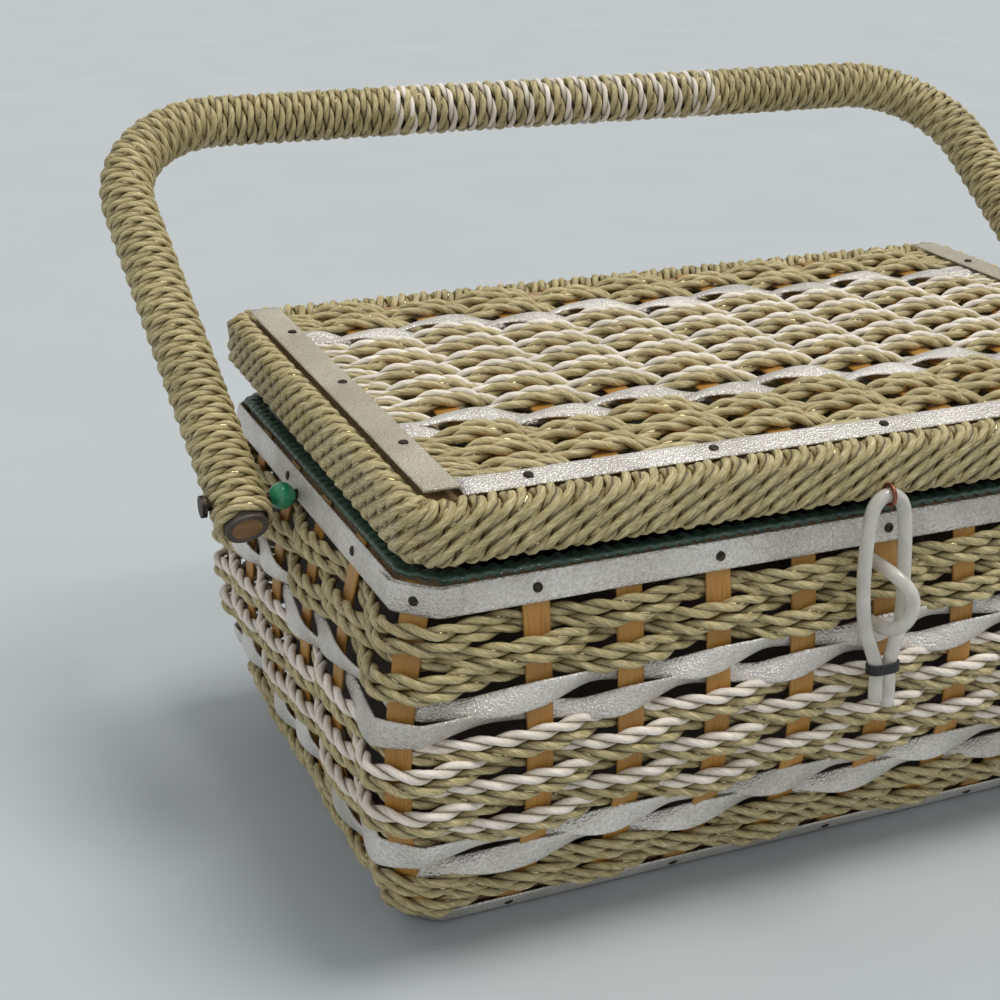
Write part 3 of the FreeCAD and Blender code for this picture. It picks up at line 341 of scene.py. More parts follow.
# Finishes
class Finish:
    """A material under construction: its nodes by short calls."""

    def __init__(self, name):
        self.material = bpy.data.materials.new(name)
        self.material.use_nodes = True
        self.nodes = self.material.node_tree.nodes
        self.links = self.material.node_tree.links
        self.shader = self.nodes["Principled BSDF"]
        self.coordinates = self.nodes.new("ShaderNodeTexCoord")
        self.place = self.coordinates.outputs["Object"]

    def set(self, **sockets):
        for socket, value in sockets.items():
            self.shader.inputs[socket.replace("_", " ")].default_value = value

    def join(self, output, socket):
        self.links.new(output, self.shader.inputs[socket])

    def math(self, operation, first, second=None, third=None):
        node = self.nodes.new("ShaderNodeMath")
        node.operation = operation
        for index, value in enumerate((first, second, third)):
            if value is None:
                continue
            if isinstance(value, (int, float)):
                node.inputs[index].default_value = value
            else:
                self.links.new(value, node.inputs[index])
        return node.outputs[0]

    def stretched(self, source, scale):
        node = self.nodes.new("ShaderNodeMapping")
        node.inputs["Scale"].default_value = scale
        self.links.new(self.coordinates.outputs[source], node.inputs["Vector"])
        return node.outputs[0]

    def split(self, source="UV"):
        node = self.nodes.new("ShaderNodeSeparateXYZ")
        self.links.new(self.coordinates.outputs[source], node.inputs[0])
        return node.outputs

    def noise(self, vector, scale, detail=3.0, roughness=0.55):
        node = self.nodes.new("ShaderNodeTexNoise")
        node.inputs["Scale"].default_value = scale
        node.inputs["Detail"].default_value = detail
        node.inputs["Roughness"].default_value = roughness
        self.links.new(vector, node.inputs["Vector"])
        return node.outputs["Fac"]

    def cells(self, vector, scale):
        node = self.nodes.new("ShaderNodeTexVoronoi")
        node.inputs["Scale"].default_value = scale
        self.links.new(vector, node.inputs["Vector"])
        return node.outputs["Distance"]

    def ramp(self, value, stops):
        node = self.nodes.new("ShaderNodeValToRGB")
        elements = node.color_ramp.elements
        while len(elements) < len(stops):
            elements.new(0.5)
        for element, (position, colour) in zip(elements, stops):
            element.position = position
            element.color = (*colour, 1.0)
        self.links.new(value, node.inputs["Fac"])
        return node.outputs["Color"]

    def mix(self, factor, first, second, blend="MIX"):
        node = self.nodes.new("ShaderNodeMix")
        node.data_type = "RGBA"
        node.blend_type = blend
        sockets = {"Factor": factor, "A": first, "B": second}
        for socket in node.inputs:
            if not socket.enabled or socket.name not in sockets:
                continue
            value = sockets[socket.name]
            if isinstance(value, (int, float)):
                socket.default_value = value
            elif isinstance(value, tuple):
                socket.default_value = (*value, 1.0)
            else:
                self.links.new(value, socket)
        return [output for output in node.outputs if output.enabled][0]

    def bump(self, height, strength, distance):
        node = self.nodes.new("ShaderNodeBump")
        node.inputs["Strength"].default_value = strength
        node.inputs["Distance"].default_value = distance
        self.links.new(height, node.inputs["Height"])
        self.links.new(node.outputs["Normal"], self.shader.inputs["Normal"])


def band_mask(finish, value, centre, half_width, soft):
    """1 where a value lies within half_width of centre, fading to 0 over soft."""
    away = finish.math("ABSOLUTE", finish.math("SUBTRACT", value, centre))
    node = finish.nodes.new("ShaderNodeMapRange")
    node.inputs["From Min"].default_value = half_width + soft
    node.inputs["From Max"].default_value = half_width
    finish.links.new(away, node.inputs["Value"])
    return node.outputs[0]


def cord_finish(name, dark, middle, pale, gold):
    """Twisted paper: streaks along each ply, worn patches, a painted highlight down each ply's middle with painted
    shade towards the grooves, and a gold thread in one groove.
    """
    finish = Finish(name)
    around = finish.split()[1]
    streak = finish.noise(finish.stretched("UV", (0.16, 9.0, 1.0)), 2.2, 4.0, 0.6)
    patchy = finish.noise(finish.place, 70.0, 3.0)
    paper = finish.ramp(streak, ((0.30, dark), (0.5, middle), (0.70, pale)))
    tone = finish.ramp(patchy, ((0.3, (0.82, 0.80, 0.74)), (0.7, (1.08, 1.06, 1.02))))
    paper = finish.mix(1.0, paper, tone, "MULTIPLY")
    # Painted light: each ply is lightened along its middle as a painted highlight and darkened towards its grooves as
    # painted shade.
    ply = finish.math("MULTIPLY", finish.math("PINGPONG", around, 0.25), 4.0)
    painted_ply_highlight_and_shade = (
        (0.0, (1.12, 1.12, 1.14)),
        (0.55, (1.0, 1.0, 1.0)),
        (0.80, (0.72, 0.69, 0.62)),
        (0.97, (0.14, 0.12, 0.09)),
    )
    paper = finish.mix(1.0, paper, finish.ramp(ply, painted_ply_highlight_and_shade), "MULTIPLY")
    rib = finish.noise(finish.stretched("UV", (0.3, 16.0, 1.0)), 3.0, 2.0)
    finish.bump(rib, 0.35, 0.0004)
    finish.set(Roughness=0.5, Specular_IOR_Level=0.5)
    if gold:
        line = band_mask(finish, finish.math("FRACT", around), gold, 0.010, 0.010)
        broken = finish.noise(finish.stretched("UV", (0.2, 0.0, 0.0)), 1.7, 1.0)
        thread = finish.math("MULTIPLY", line, finish.math("GREATER_THAN", broken, 0.52))
        paper = finish.mix(thread, paper, (0.95, 0.78, 0.42))
        finish.join(thread, "Metallic")
        rough = finish.math("MULTIPLY_ADD", thread, -0.24, 0.5)
        finish.join(rough, "Roughness")
    finish.join(paper, "Base Color")
    return finish.material


def vinyl_finish(name, dark, pale, metallic):
    """Pearly vinyl: pebble grain that catches the light unevenly, with painted shade in its hollows and painted
    highlights on its tops.
    """
    finish = Finish(name)
    grain = finish.cells(finish.place, 1500.0)
    fine = finish.noise(finish.place, 1100.0, 3.0, 0.7)
    height = finish.math("ADD", grain, finish.math("MULTIPLY", fine, 0.6))
    wear = finish.noise(finish.place, 38.0, 4.0)
    colour = finish.ramp(wear, ((0.32, dark), (0.62, pale)))
    # Painted light: the fine grain darkens the colour in its hollows as painted shade and lightens it on its tops as
    # painted highlights.
    pebble_painted_light = finish.ramp(fine, ((0.36, (0.84, 0.83, 0.81)), (0.52, (0.98, 0.98, 0.97)), (0.64, (1.12, 1.12, 1.12))))
    finish.join(finish.mix(1.0, colour, pebble_painted_light, "MULTIPLY"), "Base Color")
    finish.bump(height, 0.75, 0.0005)
    finish.set(Metallic=metallic, Roughness=0.33, Specular_IOR_Level=0.6)
    return finish.material


def bamboo_finish():
    """Split bamboo: long fibres that run up the strip, orange-brown with a waxy skin."""
    finish = Finish("split_bamboo")
    fibre = finish.noise(finish.stretched("UV", (0.05, 2.6, 1.0)), 2.0, 5.0, 0.65)
    patchy = finish.noise(finish.place, 55.0, 2.0)
    dark, middle, pale = (0.255, 0.112, 0.018), (0.455, 0.225, 0.044), (0.60, 0.34, 0.085)
    colour = finish.ramp(fibre, ((0.28, dark), (0.5, middle), (0.75, pale)))
    tone = finish.ramp(patchy, ((0.3, (0.80, 0.78, 0.76)), (0.7, (1.1, 1.08, 1.05))))
    finish.join(finish.mix(1.0, colour, tone, "MULTIPLY"), "Base Color")
    finish.bump(fibre, 0.3, 0.0003)
    finish.set(Roughness=0.42)
    return finish.material


def grain_finish(name, dark, pale, grain, bump=None, stretch=(1.0, 1.0, 1.0), **sockets):
    """Two tones that change with a noise of the given grain, drawn out where stretch is small."""
    finish = Finish(name)
    tone = finish.noise(finish.stretched("Object", stretch), *grain)
    finish.join(finish.ramp(tone, ((0.3, dark), (0.7, pale))), "Base Color")
    if bump:
        finish.bump(tone, *bump)
    finish.set(**sockets)
    return finish.material


def wood_finish(name, dark, pale, stretch):
    """Plain wood: grain lines drawn out along one direction."""
    return grain_finish(name, dark, pale, (60.0, 5.0, 0.6), (0.25, 0.0004), stretch, Roughness=0.6)


def metal_finish(name, dark, pale, roughness):
    """Dull metal with tarnish in patches."""
    return grain_finish(name, dark, pale, (600.0, 4.0), (0.15, 0.0002), Metallic=1.0, Roughness=roughness)


def satin_finish():
    """Dark green satin: fine threads, a silky sheen and slow changes of tone. Its backing is brown card."""
    finish = Finish("green_satin")
    threads = finish.noise(finish.stretched("Object", (1.0, 1.0, 14.0)), 900.0, 2.0)
    tone = finish.noise(finish.place, 26.0, 3.0)
    colour = finish.ramp(tone, ((0.3, (0.012, 0.052, 0.034)), (0.7, (0.030, 0.105, 0.070))))
    backing = finish.math("GREATER_THAN", finish.split()[1], 1.5)
    colour = finish.mix(backing, colour, (0.045, 0.026, 0.014))
    finish.join(colour, "Base Color")
    finish.bump(threads, 0.18, 0.0002)
    finish.set(Roughness=0.38, Sheen_Weight=0.35, Sheen_Roughness=0.35)
    return finish.material


def braid_finish():
    """Dark green braid with a pale lower edge and metal threads that glint."""
    finish = Finish("glitter_braid")
    glint = finish.cells(finish.place, 900.0)
    spark = finish.math("LESS_THAN", glint, 0.13)
    tone = finish.noise(finish.place, 420.0, 3.0)
    colour = finish.ramp(tone, ((0.3, (0.018, 0.048, 0.036)), (0.7, (0.085, 0.140, 0.110))))
    edge = finish.math("LESS_THAN", finish.split()[1], -0.45)
    colour = finish.mix(edge, colour, (0.30, 0.36, 0.31))
    finish.join(finish.mix(spark, colour, (0.72, 0.76, 0.66)), "Base Color")
    finish.join(spark, "Metallic")
    finish.bump(tone, 0.5, 0.0005)
    finish.set(Roughness=0.42)
    return finish.material


khaki = cord_finish("khaki_cord", (0.260, 0.205, 0.085), (0.465, 0.390, 0.195), (0.720, 0.650, 0.415), 0.25)
white = cord_finish("white_cord", (0.620, 0.550, 0.480), (0.830, 0.765, 0.695), (0.930, 0.890, 0.840), None)
pearl = vinyl_finish("pearl_vinyl", (0.57, 0.535, 0.485), (0.82, 0.785, 0.74), 0.45)
cream = vinyl_finish("cream_vinyl", (0.43, 0.385, 0.285), (0.57, 0.525, 0.415), 0.15)
bamboo = bamboo_finish()
satin = satin_finish()
braid = braid_finish()
raw_wood = wood_finish("raw_wood", (0.26, 0.155, 0.075), (0.46, 0.31, 0.17), (1.0, 8.0, 8.0))
rod_wood = wood_finish("rod_wood", (0.19, 0.095, 0.038), (0.34, 0.19, 0.085), (2.0, 6.0, 6.0))
fibre = wood_finish("fibre_tube", (0.075, 0.062, 0.055), (0.135, 0.115, 0.100), (3.0, 3.0, 3.0))
nail_metal = metal_finish("nail_metal", (0.020, 0.017, 0.014), (0.085, 0.072, 0.058), 0.5)
copper = metal_finish("copper_wire", (0.19, 0.065, 0.040), (0.42, 0.17, 0.105), 0.36)
# Milky soft tube, slightly yellowed, and a glossy, slightly cloudy bead
clear = grain_finish(
    "clear_tube", (0.78, 0.75, 0.68), (0.93, 0.91, 0.86), (220.0, 3.0), (0.06, 0.0003),
    Roughness=0.22, Transmission_Weight=0.45, IOR=1.42, Coat_Weight=0.4, Coat_Roughness=0.12,
)
jade = grain_finish(
    "jade_bead", (0.012, 0.235, 0.105), (0.035, 0.36, 0.18), (260.0, 3.0),
    Roughness=0.16, Coat_Weight=0.6, Coat_Roughness=0.08,
)
thread_black = wood_finish("black_thread", (0.010, 0.010, 0.011), (0.035, 0.034, 0.034), (30.0, 30.0, 4.0))


# Wall geometry
def wall_size(z, rim, bulge, tuck):
    """Rim size, plus a parabolic bulge, less a tuck that grows with the square of the depth."""
    rise = z / WALL_HEIGHT
    below = np.maximum(0.0, 1.0 - z / TUCK_HEIGHT)
    return rim + bulge * 4.0 * rise * (1.0 - rise) - tuck * below**2


def wall_halves(z):
    """Half width and half depth of the wall at a height."""
    half_x = wall_size(z, RIM_HALF_WIDTH, SIDE_BULGE, SIDE_TUCK)
    half_y = wall_size(z, RIM_HALF_DEPTH, FRONT_BULGE, FRONT_TUCK)
    return half_x, half_y


def plan_point(s, half_x, half_y, corner):
    """Point and outward normal at distance s round a rectangle whose corners are cut across, from the
    middle of its front left corner, seen from above against the clock: straights and flat corners in
    turn. The normal swings over at both ends of a corner, so what lies outside it has rounded bends."""
    s, half_x, half_y = np.broadcast_arrays(s, half_x, half_y)
    cut = corner * math.sqrt(2.0)
    long_run, short_run = 2.0 * (half_x - corner), 2.0 * (half_y - corner)
    lengths = np.stack(
        np.broadcast_arrays(cut / 2, long_run, cut, short_run, cut, long_run, cut, short_run, cut / 2)
    )
    ends = np.cumsum(lengths, axis=0)
    s = np.mod(s, ends[-1])
    piece = np.minimum(np.sum(s >= ends, axis=0), 8)
    local = s - np.take_along_axis(ends - lengths, piece[None], axis=0)[0]
    turning = piece % 2 == 0
    quarter = piece // 2
    across = np.where(turning, np.where(piece == 0, local + cut / 2, local) / cut, 1.0)
    swing = 0.5 * smooth(across / 0.35) + 0.5 * smooth((across - 0.65) / 0.35)
    angle = math.pi + (quarter + swing) * math.pi / 2
    normal = np.stack([np.cos(angle), np.sin(angle)], axis=-1)
    first = math.pi + quarter * math.pi / 2
    before = np.stack([np.cos(first), np.sin(first)], axis=-1)
    after = np.stack([-np.sin(first), np.cos(first)], axis=-1)
    middle = np.round(before + after) * np.stack([half_x - corner, half_y - corner], axis=-1)
    bend = before * (1.0 - across)[..., None] + after * across[..., None]
    straight = np.stack([-after[..., 1], after[..., 0]], axis=-1) * np.where(turning, 0.0, local)[..., None]
    return middle + corner * bend + straight, normal


def plan_run(half_x, half_y, corner):
    """Way round that rectangle."""
    return 4.0 * (half_x + half_y) - (8.0 - 4.0 * math.sqrt(2.0)) * corner


def stake_marks():
    """Distance of every stake round the wall as three numbers: fixed, per half width, per half depth."""
    half_cut = WALL_CORNER * math.sqrt(0.5)
    marks = []
    fixed, wide, deep = 0.0, 0.0, 0.0
    for side in range(4):
        marks.append((fixed, wide, deep))
        along = FRONT_STAKES if side % 2 == 0 else SIDE_STAKES
        for place in along:
            reach = fixed + half_cut - WALL_CORNER + place
            marks.append((reach, wide + (side % 2 == 0), deep + (side % 2 == 1)))
        fixed += 2 * half_cut - 2 * WALL_CORNER
        wide += 2 * (side % 2 == 0)
        deep += 2 * (side % 2 == 1)
    marks.append((fixed, wide, deep))
    return np.array(marks)


MARKS = stake_marks()
STAKES = len(MARKS) - 1


def wall_path(q, z, offset):
    """Points at stake number q, height z and distance offset outside the middle of the stakes."""
    half_x, half_y = wall_halves(z)
    number = np.arange(len(MARKS))
    fixed, wide, deep = (np.interp(q, number, MARKS[:, k]) for k in range(3))
    place, normal = plan_point(fixed + wide * half_x + deep * half_y, half_x, half_y, WALL_CORNER)
    out = np.concatenate([normal, np.zeros(normal.shape[:-1] + (1,))], axis=-1)
    points = np.concatenate([place, np.asarray(z)[..., None]], axis=-1)
    return points + out * np.asarray(offset)[..., None], out


def wall_slope(z):
    """Outward travel of the long sides per millimetre of height."""
    return wall_halves(z + 0.5)[1] - wall_halves(z - 0.5)[1]


def weave_wave(q, row):
    """+1 outside a stake, -1 inside it: a cosine with flattened tops."""
    wave = np.cos(math.pi * (q + row + 1))
    return 1.3 * wave - 0.3 * wave**3


def row_cord(row, side):
    """One of the two cords of a row: outside one stake, inside the next, rising a little as it dives."""
    q = np.linspace(0.0, STAKES, ROW_POINTS, endpoint=False)
    wave = weave_wave(q, row)
    rise = 0.45 * np.sin(math.pi * (q + row + 1))
    level = TOP_ROW - (row - 1) * ROW_PITCH
    drift = wander(q * 1.5, 0.28, 10 * row + side)
    z = level + side * (1.7 + 0.26 * wave) + rise + drift
    points, out = wall_path(q, z, 2.45 * wave)
    radius = CORD_RADIUS * (1.0 + 0.06 * wave + 0.04 * wander(q * 4.0, 1.0, 50 + row))
    return cord_patch(points, out, radius, closed=True, start=row * 1.7 + side)


def row_vinyl(row):
    """Flat strand: wide where it lies outside a stake, folded and narrow where it dives."""
    q = np.linspace(0.0, STAKES, ROW_POINTS, endpoint=False)
    wave = weave_wave(q, row)
    turn = np.sin(math.pi * (q + row + 1))
    level = TOP_ROW - (row - 1) * ROW_PITCH
    z = level + 1.1 * turn + wander(q * 1.5, 0.3, 200 + row)
    points, out = wall_path(q, z, 1.75 * wave)
    half_height = 2.75 + 1.0 * np.maximum(wave, -0.2)
    return band_patch(points, out, half_height, 0.5, tilt=0.5 * turn, crown=0.35, closed=True)


for row in range(1, ROWS + 1):
    if row in VINYL_ROWS:
        name = f"vinyl_weaver_{row:02d}"
        add_piece(f"pearl_row_{row:02d}", [row_vinyl(row)], pearl, "basket", [name])
        continue
    name = f"khaki_weaver_{row:02d}"
    if row in KHAKI_ROWS:
        cords = [row_cord(row, 1), row_cord(row, -1)]
        add_piece(f"khaki_row_{row:02d}", cords, khaki, "basket", [name])
    else:
        add_piece(f"khaki_row_{row:02d}", [row_cord(row, -1)], khaki, "basket", [name])
        whites = [f"white_weaver_{row:02d}"]
        add_piece(f"white_row_{row:02d}", [row_cord(row, 1)], white, "basket", whites)


# Stakes, edgings and nails of the wall
def stake_patch(number):
    """A bamboo strip that follows the wall from the floor to the rim."""
    z = np.linspace(0.6, WALL_HEIGHT - 0.6, 60)
    points, out = wall_path(np.full_like(z, number), z, np.zeros_like(z))
    half = STAKE_WIDTH / 2 * (1.0 + 0.03 * wander(z * 0.1, 1.0, 300 + number))
    return band_patch(points, out, half, STAKE_THICKNESS / 2)


sides = {"corner": [], "front": [], "right": [], "back": [], "left": []}
number = 0
for side, count in (("front", 9), ("right", 4), ("back", 9), ("left", 4)):
    sides["corner"].append(number)
    sides[side] += range(number + 1, number + 1 + count)
    number += 1 + count
for side, numbers in sides.items():
    strips = [stake_patch(place) for place in numbers]
    add_piece(f"{side}_bamboo", strips, bamboo, "basket", [f"{side}_stakes"])


def edging(low, high, drift, seed):
    """Vinyl strip nailed round the wall, following its slope, at a level that drifts a little."""
    q = np.linspace(0.0, STAKES, ROW_POINTS, endpoint=False)
    slope = wall_slope((low + high) / 2)
    points, out = wall_path(q, (low + high) / 2 + wander(q, drift, seed), np.full_like(q, 1.25))
    half = (high - low) / 2 / math.cos(math.atan(slope))
    return band_patch(points, out - UP * slope, half, 0.5, crown=0.12, closed=True)


def edging_lap():
    """End of the rim strip, lapped over its start beside the front left corner."""
    q = np.linspace(-0.35, 0.36, 40)
    points, out = wall_path(np.mod(q, STAKES), np.full_like(q, RIM_NAIL_LEVEL), np.full_like(q, 2.05))
    return band_patch(points, out, 3.9, 0.4, crown=0.1)


rim_strips = [edging(*RIM_STRIP, 0.15, 5), edging_lap()]
add_piece("rim_edging", rim_strips, pearl, "basket", ["rim_strip"])
add_piece("floor_edging", [edging(*FLOOR_STRIP, 0.1, 6)], pearl, "basket", ["base_strip"])

NAIL_PROFILE = ((1.40, -0.15), (1.32, 0.28), (1.05, 0.46), (0.62, 0.44), (0.30, 0.26), (0.05, 0.18))


def wall_nail(number, z):
    """Nail head seated on the edging, or on its lap: a low rim round a dimple."""
    seat = 2.4 if number == 0 and z == RIM_NAIL_LEVEL else 1.85
    place, out = wall_path(np.array([float(number)]), np.array([z]), np.array([seat]))
    return turned_patch(NAIL_PROFILE, place[0], out[0] - UP * wall_slope(z))


nailed = (0, *range(1, STAKES, 2))
nails = [wall_nail(number, z) for number in nailed for z in (RIM_NAIL_LEVEL, FLOOR_NAIL_LEVEL)]
add_piece("edging_nails", nails, nail_metal, "basket", ["wall_nails"])


# Lid: worked out level, with the underside of its rim at z = 0, then tilted as the CAD's lid is
LID_PLACE = np.array(
    [
        0.0,
        -LID_HALF_DEPTH + LID_HALF_DEPTH * math.cos(LID_TILT),
        WALL_HEIGHT + LID_GAP + LID_HALF_DEPTH * math.sin(LID_TILT),
    ]
)


def tilted(item):
    """A patch of the level lid, raised at the back and set in place."""
    return set_down(item, LID_TILT, LID_PLACE)


def lid_row_y(row):
    """Place of a row from front to back."""
    return (row - 1) * LID_ROW_PITCH - LID_ROW_REACH


def lid_dive(x, row):
    """Sine that is a quarter wave behind a row's weave: strongest half way between two stakes."""
    return np.sin(math.pi * (x / STAKE_PITCH + row + 5))


def lid_line(row, reach):
    """Path across the lid: over one stake and under the next, pressed flat under the side strips."""
    x = np.linspace(-LID_ROW_END, LID_ROW_END, LID_ROW_POINTS)
    settle = smooth((np.abs(x) - SETTLE_START) / SETTLE_RUN)
    wave = weave_wave(x / STAKE_PITCH + 4.0, row) * (1.0 - settle)
    return x, wave, settle, LID_STAKE_LEVEL + reach * wave + 0.9 * settle


def lid_cord(row, side, radius):
    """One of a row's two cords; the back one rides a little higher."""
    x, wave, settle, z = lid_line(row, 2.75)
    y = lid_row_y(row) + side * (1.55 + 0.15 * wave)
    y = y + wander(x * 0.05, 0.25, 400 + 3 * row + side) + 0.4 * lid_dive(x, row)
    points = np.stack([x, y, z + 0.25 * side * (1.0 - settle)], axis=1)
    radius = radius * (1.0 + 0.08 * wave - 0.22 * settle)
    return tilted(cord_patch(points, UP, radius, start=row + side))


def lid_vinyl(row):
    """Flat strand: wide over a stake, narrow under the next, leaning as it dives."""
    x, wave, _, z = lid_line(row, 2.0)
    points = np.stack([x, lid_row_y(row) + wander(x * 0.05, 0.4, 500 + row), z], axis=1)
    half = 3.2 + 0.7 * np.maximum(wave, -0.3)
    tilt = 0.3 * lid_dive(x, row)
    return tilted(band_patch(points, UP, half, 0.5, tilt=tilt, crown=0.6))


khaki_lid, white_lid, vinyl_lid = [], [], []
for row in range(1, LID_ROWS + 1):
    if row in LID_VINYL_ROWS:
        vinyl_lid.append(lid_vinyl(row))
        continue
    khaki_lid.append(lid_cord(row, -1, 1.95))
    (khaki_lid if row in LID_KHAKI_ROWS else white_lid).append(lid_cord(row, 1, 1.9))
add_piece("lid_khaki_rows", khaki_lid, khaki, "lid", ["lid_khaki_weavers"])
add_piece("lid_white_rows", white_lid, white, "lid", ["lid_white_weavers"])
add_piece("lid_pearl_rows", vinyl_lid, pearl, "lid", ["lid_vinyl_weavers"])


FRONT_LEAN = np.array([0.0, -0.17, 0.985])


def lid_strip(start, end, half, level, seed, face=UP):
    """Straight strip between two points of the lid's face, facing the given way."""
    t = np.linspace(0.0, 1.0, 60)[:, None]
    points = np.array([*start, level]) * (1 - t) + np.array([*end, level]) * t
    points[:, 2] += wander(t[:, 0] * 12.0, 0.12, seed)
    return tilted(band_patch(points, face, half, 0.5, crown=0.1))


lid_bamboo = [lid_strip((x, -81.4), (x, 81.4), STAKE_WIDTH / 2, LID_STAKE_LEVEL, 5) for x in FRONT_STAKES]
add_piece("lid_bamboo", lid_bamboo, bamboo, "lid", ["lid_stakes"])
front_ends = [(x, FRONT_STRIP_Y) for x in (-122.4, 122.4)]
front_strip = lid_strip(*front_ends, 3.9, FRONT_STRIP_LEVEL, 5, FRONT_LEAN)
side_strips = [lid_strip((x, -82.2), (x, 81.0), 4.9, SIDE_STRIP_LEVEL, 4) for x in (-SIDE_STRIP_X, SIDE_STRIP_X)]
add_piece("lid_front_edging", [front_strip], pearl, "lid")
add_piece("lid_side_edgings", side_strips, cream, "lid", ["lid_strips"])
front_nails = np.array([(x, FRONT_STRIP_Y, FRONT_STRIP_LEVEL) for x in FRONT_STAKES[::2]]) + 0.65 * FRONT_LEAN
side_nails = [(x, y, SIDE_NAIL_LEVEL) for x in (-SIDE_NAIL_X, SIDE_NAIL_X) for y in SIDE_NAIL_YS]
lid_nails = [tilted(turned_patch(NAIL_PROFILE, place, FRONT_LEAN)) for place in front_nails]
lid_nails += [tilted(turned_patch(NAIL_PROFILE, place, UP)) for place in side_nails]
add_piece("lid_edging_nails", lid_nails, nail_metal, "lid", ["lid_nails"])

# Wrapped rim of the lid
WRAP_PITCH = 4.0
WRAP_STEPS = 44


def rim_section(t):
    """Place round the rim's section for t in turns: up the outer face, over the top, down the inner
    face and back underneath, as (outwards, upwards) from the middle of the section."""
    inset, corner = 1.35, 2.2
    wide, high = LID_RIM_WIDTH / 2 - inset, LID_RIM_HEIGHT / 2 - inset
    bottom = 2 * (wide - corner) + 1.5 * corner * math.sqrt(2.0)
    return plan_point(bottom + t * plan_run(wide, high, corner), wide, high, corner)


def rim_wrap(first, last):
    """Cord wound round the lid's rim: it leans forward as it climbs the outer face and back inside."""
    count = (last - first) * WRAP_STEPS
    turns = first + np.arange(count + 1) / WRAP_STEPS
    part = np.mod(turns, 1.0)
    lean = np.interp(part, (0.0, 0.33, 0.5, 0.83, 1.0), (-4.0, 4.0, 4.2, -4.0, -4.0))
    section, section_out = rim_section(part)
    along, normal = plan_point(turns * WRAP_FIT + lean, LID_HALF_WIDTH, LID_HALF_DEPTH, LID_CORNER)
    along = along - normal * LID_RIM_WIDTH / 2
    flat = np.concatenate([along, np.full((len(turns), 1), LID_RIM_HEIGHT / 2)], axis=1)
    normal = np.concatenate([normal, np.zeros((len(turns), 1))], axis=1)
    points = flat + normal * section[:, :1] + UP * section[:, 1:]
    out = normal * section_out[:, :1] + UP * section_out[:, 1:]
    return tilted(cord_patch(points, out, 1.62, sides=10, flat=(1.32, 0.95), lay=19.0))


RIM_RUN = plan_run(LID_HALF_WIDTH, LID_HALF_DEPTH, LID_CORNER)
WRAP_TURNS = int(round(RIM_RUN / WRAP_PITCH / 4)) * 4
WRAP_FIT = RIM_RUN / WRAP_TURNS
quarter_turns = WRAP_TURNS // 4
for index, name in enumerate(("front", "right", "back", "left")):
    wound = rim_wrap(index * quarter_turns, (index + 1) * quarter_turns)
    nodes = ["lid_rim_wrap"] if index == 0 else []
    add_piece(f"lid_rim_cord_{name}", [wound], khaki, "lid", nodes)


# Handle: worked out upright about its pivot, then leaned back
def leaned(item):
    """A patch of the upright handle, leaned back about its pivot."""
    return set_down(item, -HANDLE_LEAN, (0.0, PIVOT_Y, PIVOT_Z))


def bail_half(side, low):
    """Middle line of one half of the handle, from low up the leg, round the bend, to the middle."""
    slope = HANDLE_SPLAY / HANDLE_REACH
    corner = np.array([HANDLE_HALF_WIDTH + HANDLE_SPLAY, HANDLE_REACH])
    back = unit(np.array([-slope, -1.0]))
    onward = np.array([-1.0, 0.0])
    half_turn = math.acos(float(back @ onward)) / 2.0
    reach = HANDLE_BEND / math.tan(half_turn)
    centre = corner + unit(back + onward) * HANDLE_BEND / math.sin(half_turn)
    first, last = corner + back * reach, corner + onward * reach
    begin = math.atan2(*(first - centre)[::-1])
    end = math.atan2(*(last - centre)[::-1])
    bend = np.linspace(begin, end, 60)[:, None]
    arc = centre + HANDLE_BEND * np.hstack([np.cos(bend), np.sin(bend)])
    foot = np.array([HANDLE_HALF_WIDTH + slope * low, low])
    line = np.vstack([foot, arc, [0.0, HANDLE_REACH]])
    return even_steps(np.stack([side * line[:, 0], np.zeros(len(line)), line[:, 1]], axis=1), 0.5)


def wound_on(line, pitch, radius, first, last, phase, steps=34):
    """Helix about a line, from one distance along it to another, with a level turn at each end: middle
    of the cord and its outside."""
    travelled = run_length(line)
    heading = headings(line, False)
    turns = np.arange(int(((last - first) / pitch + 1.8) * steps) + 1) / steps - 0.9
    places = np.clip(first + turns * pitch, first, last)
    at = np.stack([np.interp(places, travelled, line[:, k]) for k in range(3)], axis=1)
    ahead = unit(np.stack([np.interp(places, travelled, heading[:, k]) for k in range(3)], axis=1))
    side = np.broadcast_to(np.array([0.0, 1.0, 0.0]), at.shape)
    other = np.cross(ahead, side)
    angle = (turns * TURN + phase)[:, None]
    out = side * np.cos(angle) + other * np.sin(angle)
    return at + out * radius, out


for side, name in ((-1, "left"), (1, "right")):
    line = bail_half(side, -HANDLE_STUB + 2.0)
    length = run_length(line)[-1]
    middle, out = wound_on(line, HANDLE_PITCH, WRAP_RADIUS, 1.0, length - GRIP_HALF - 0.6, 0.4)
    cord = leaned(cord_patch(middle, out, 1.55, sides=10, flat=(1.22, 0.93), lay=17.0))
    add_piece(f"{name}_handle_cord", [cord], khaki, "handle", [f"{name}_handle_wrap"])

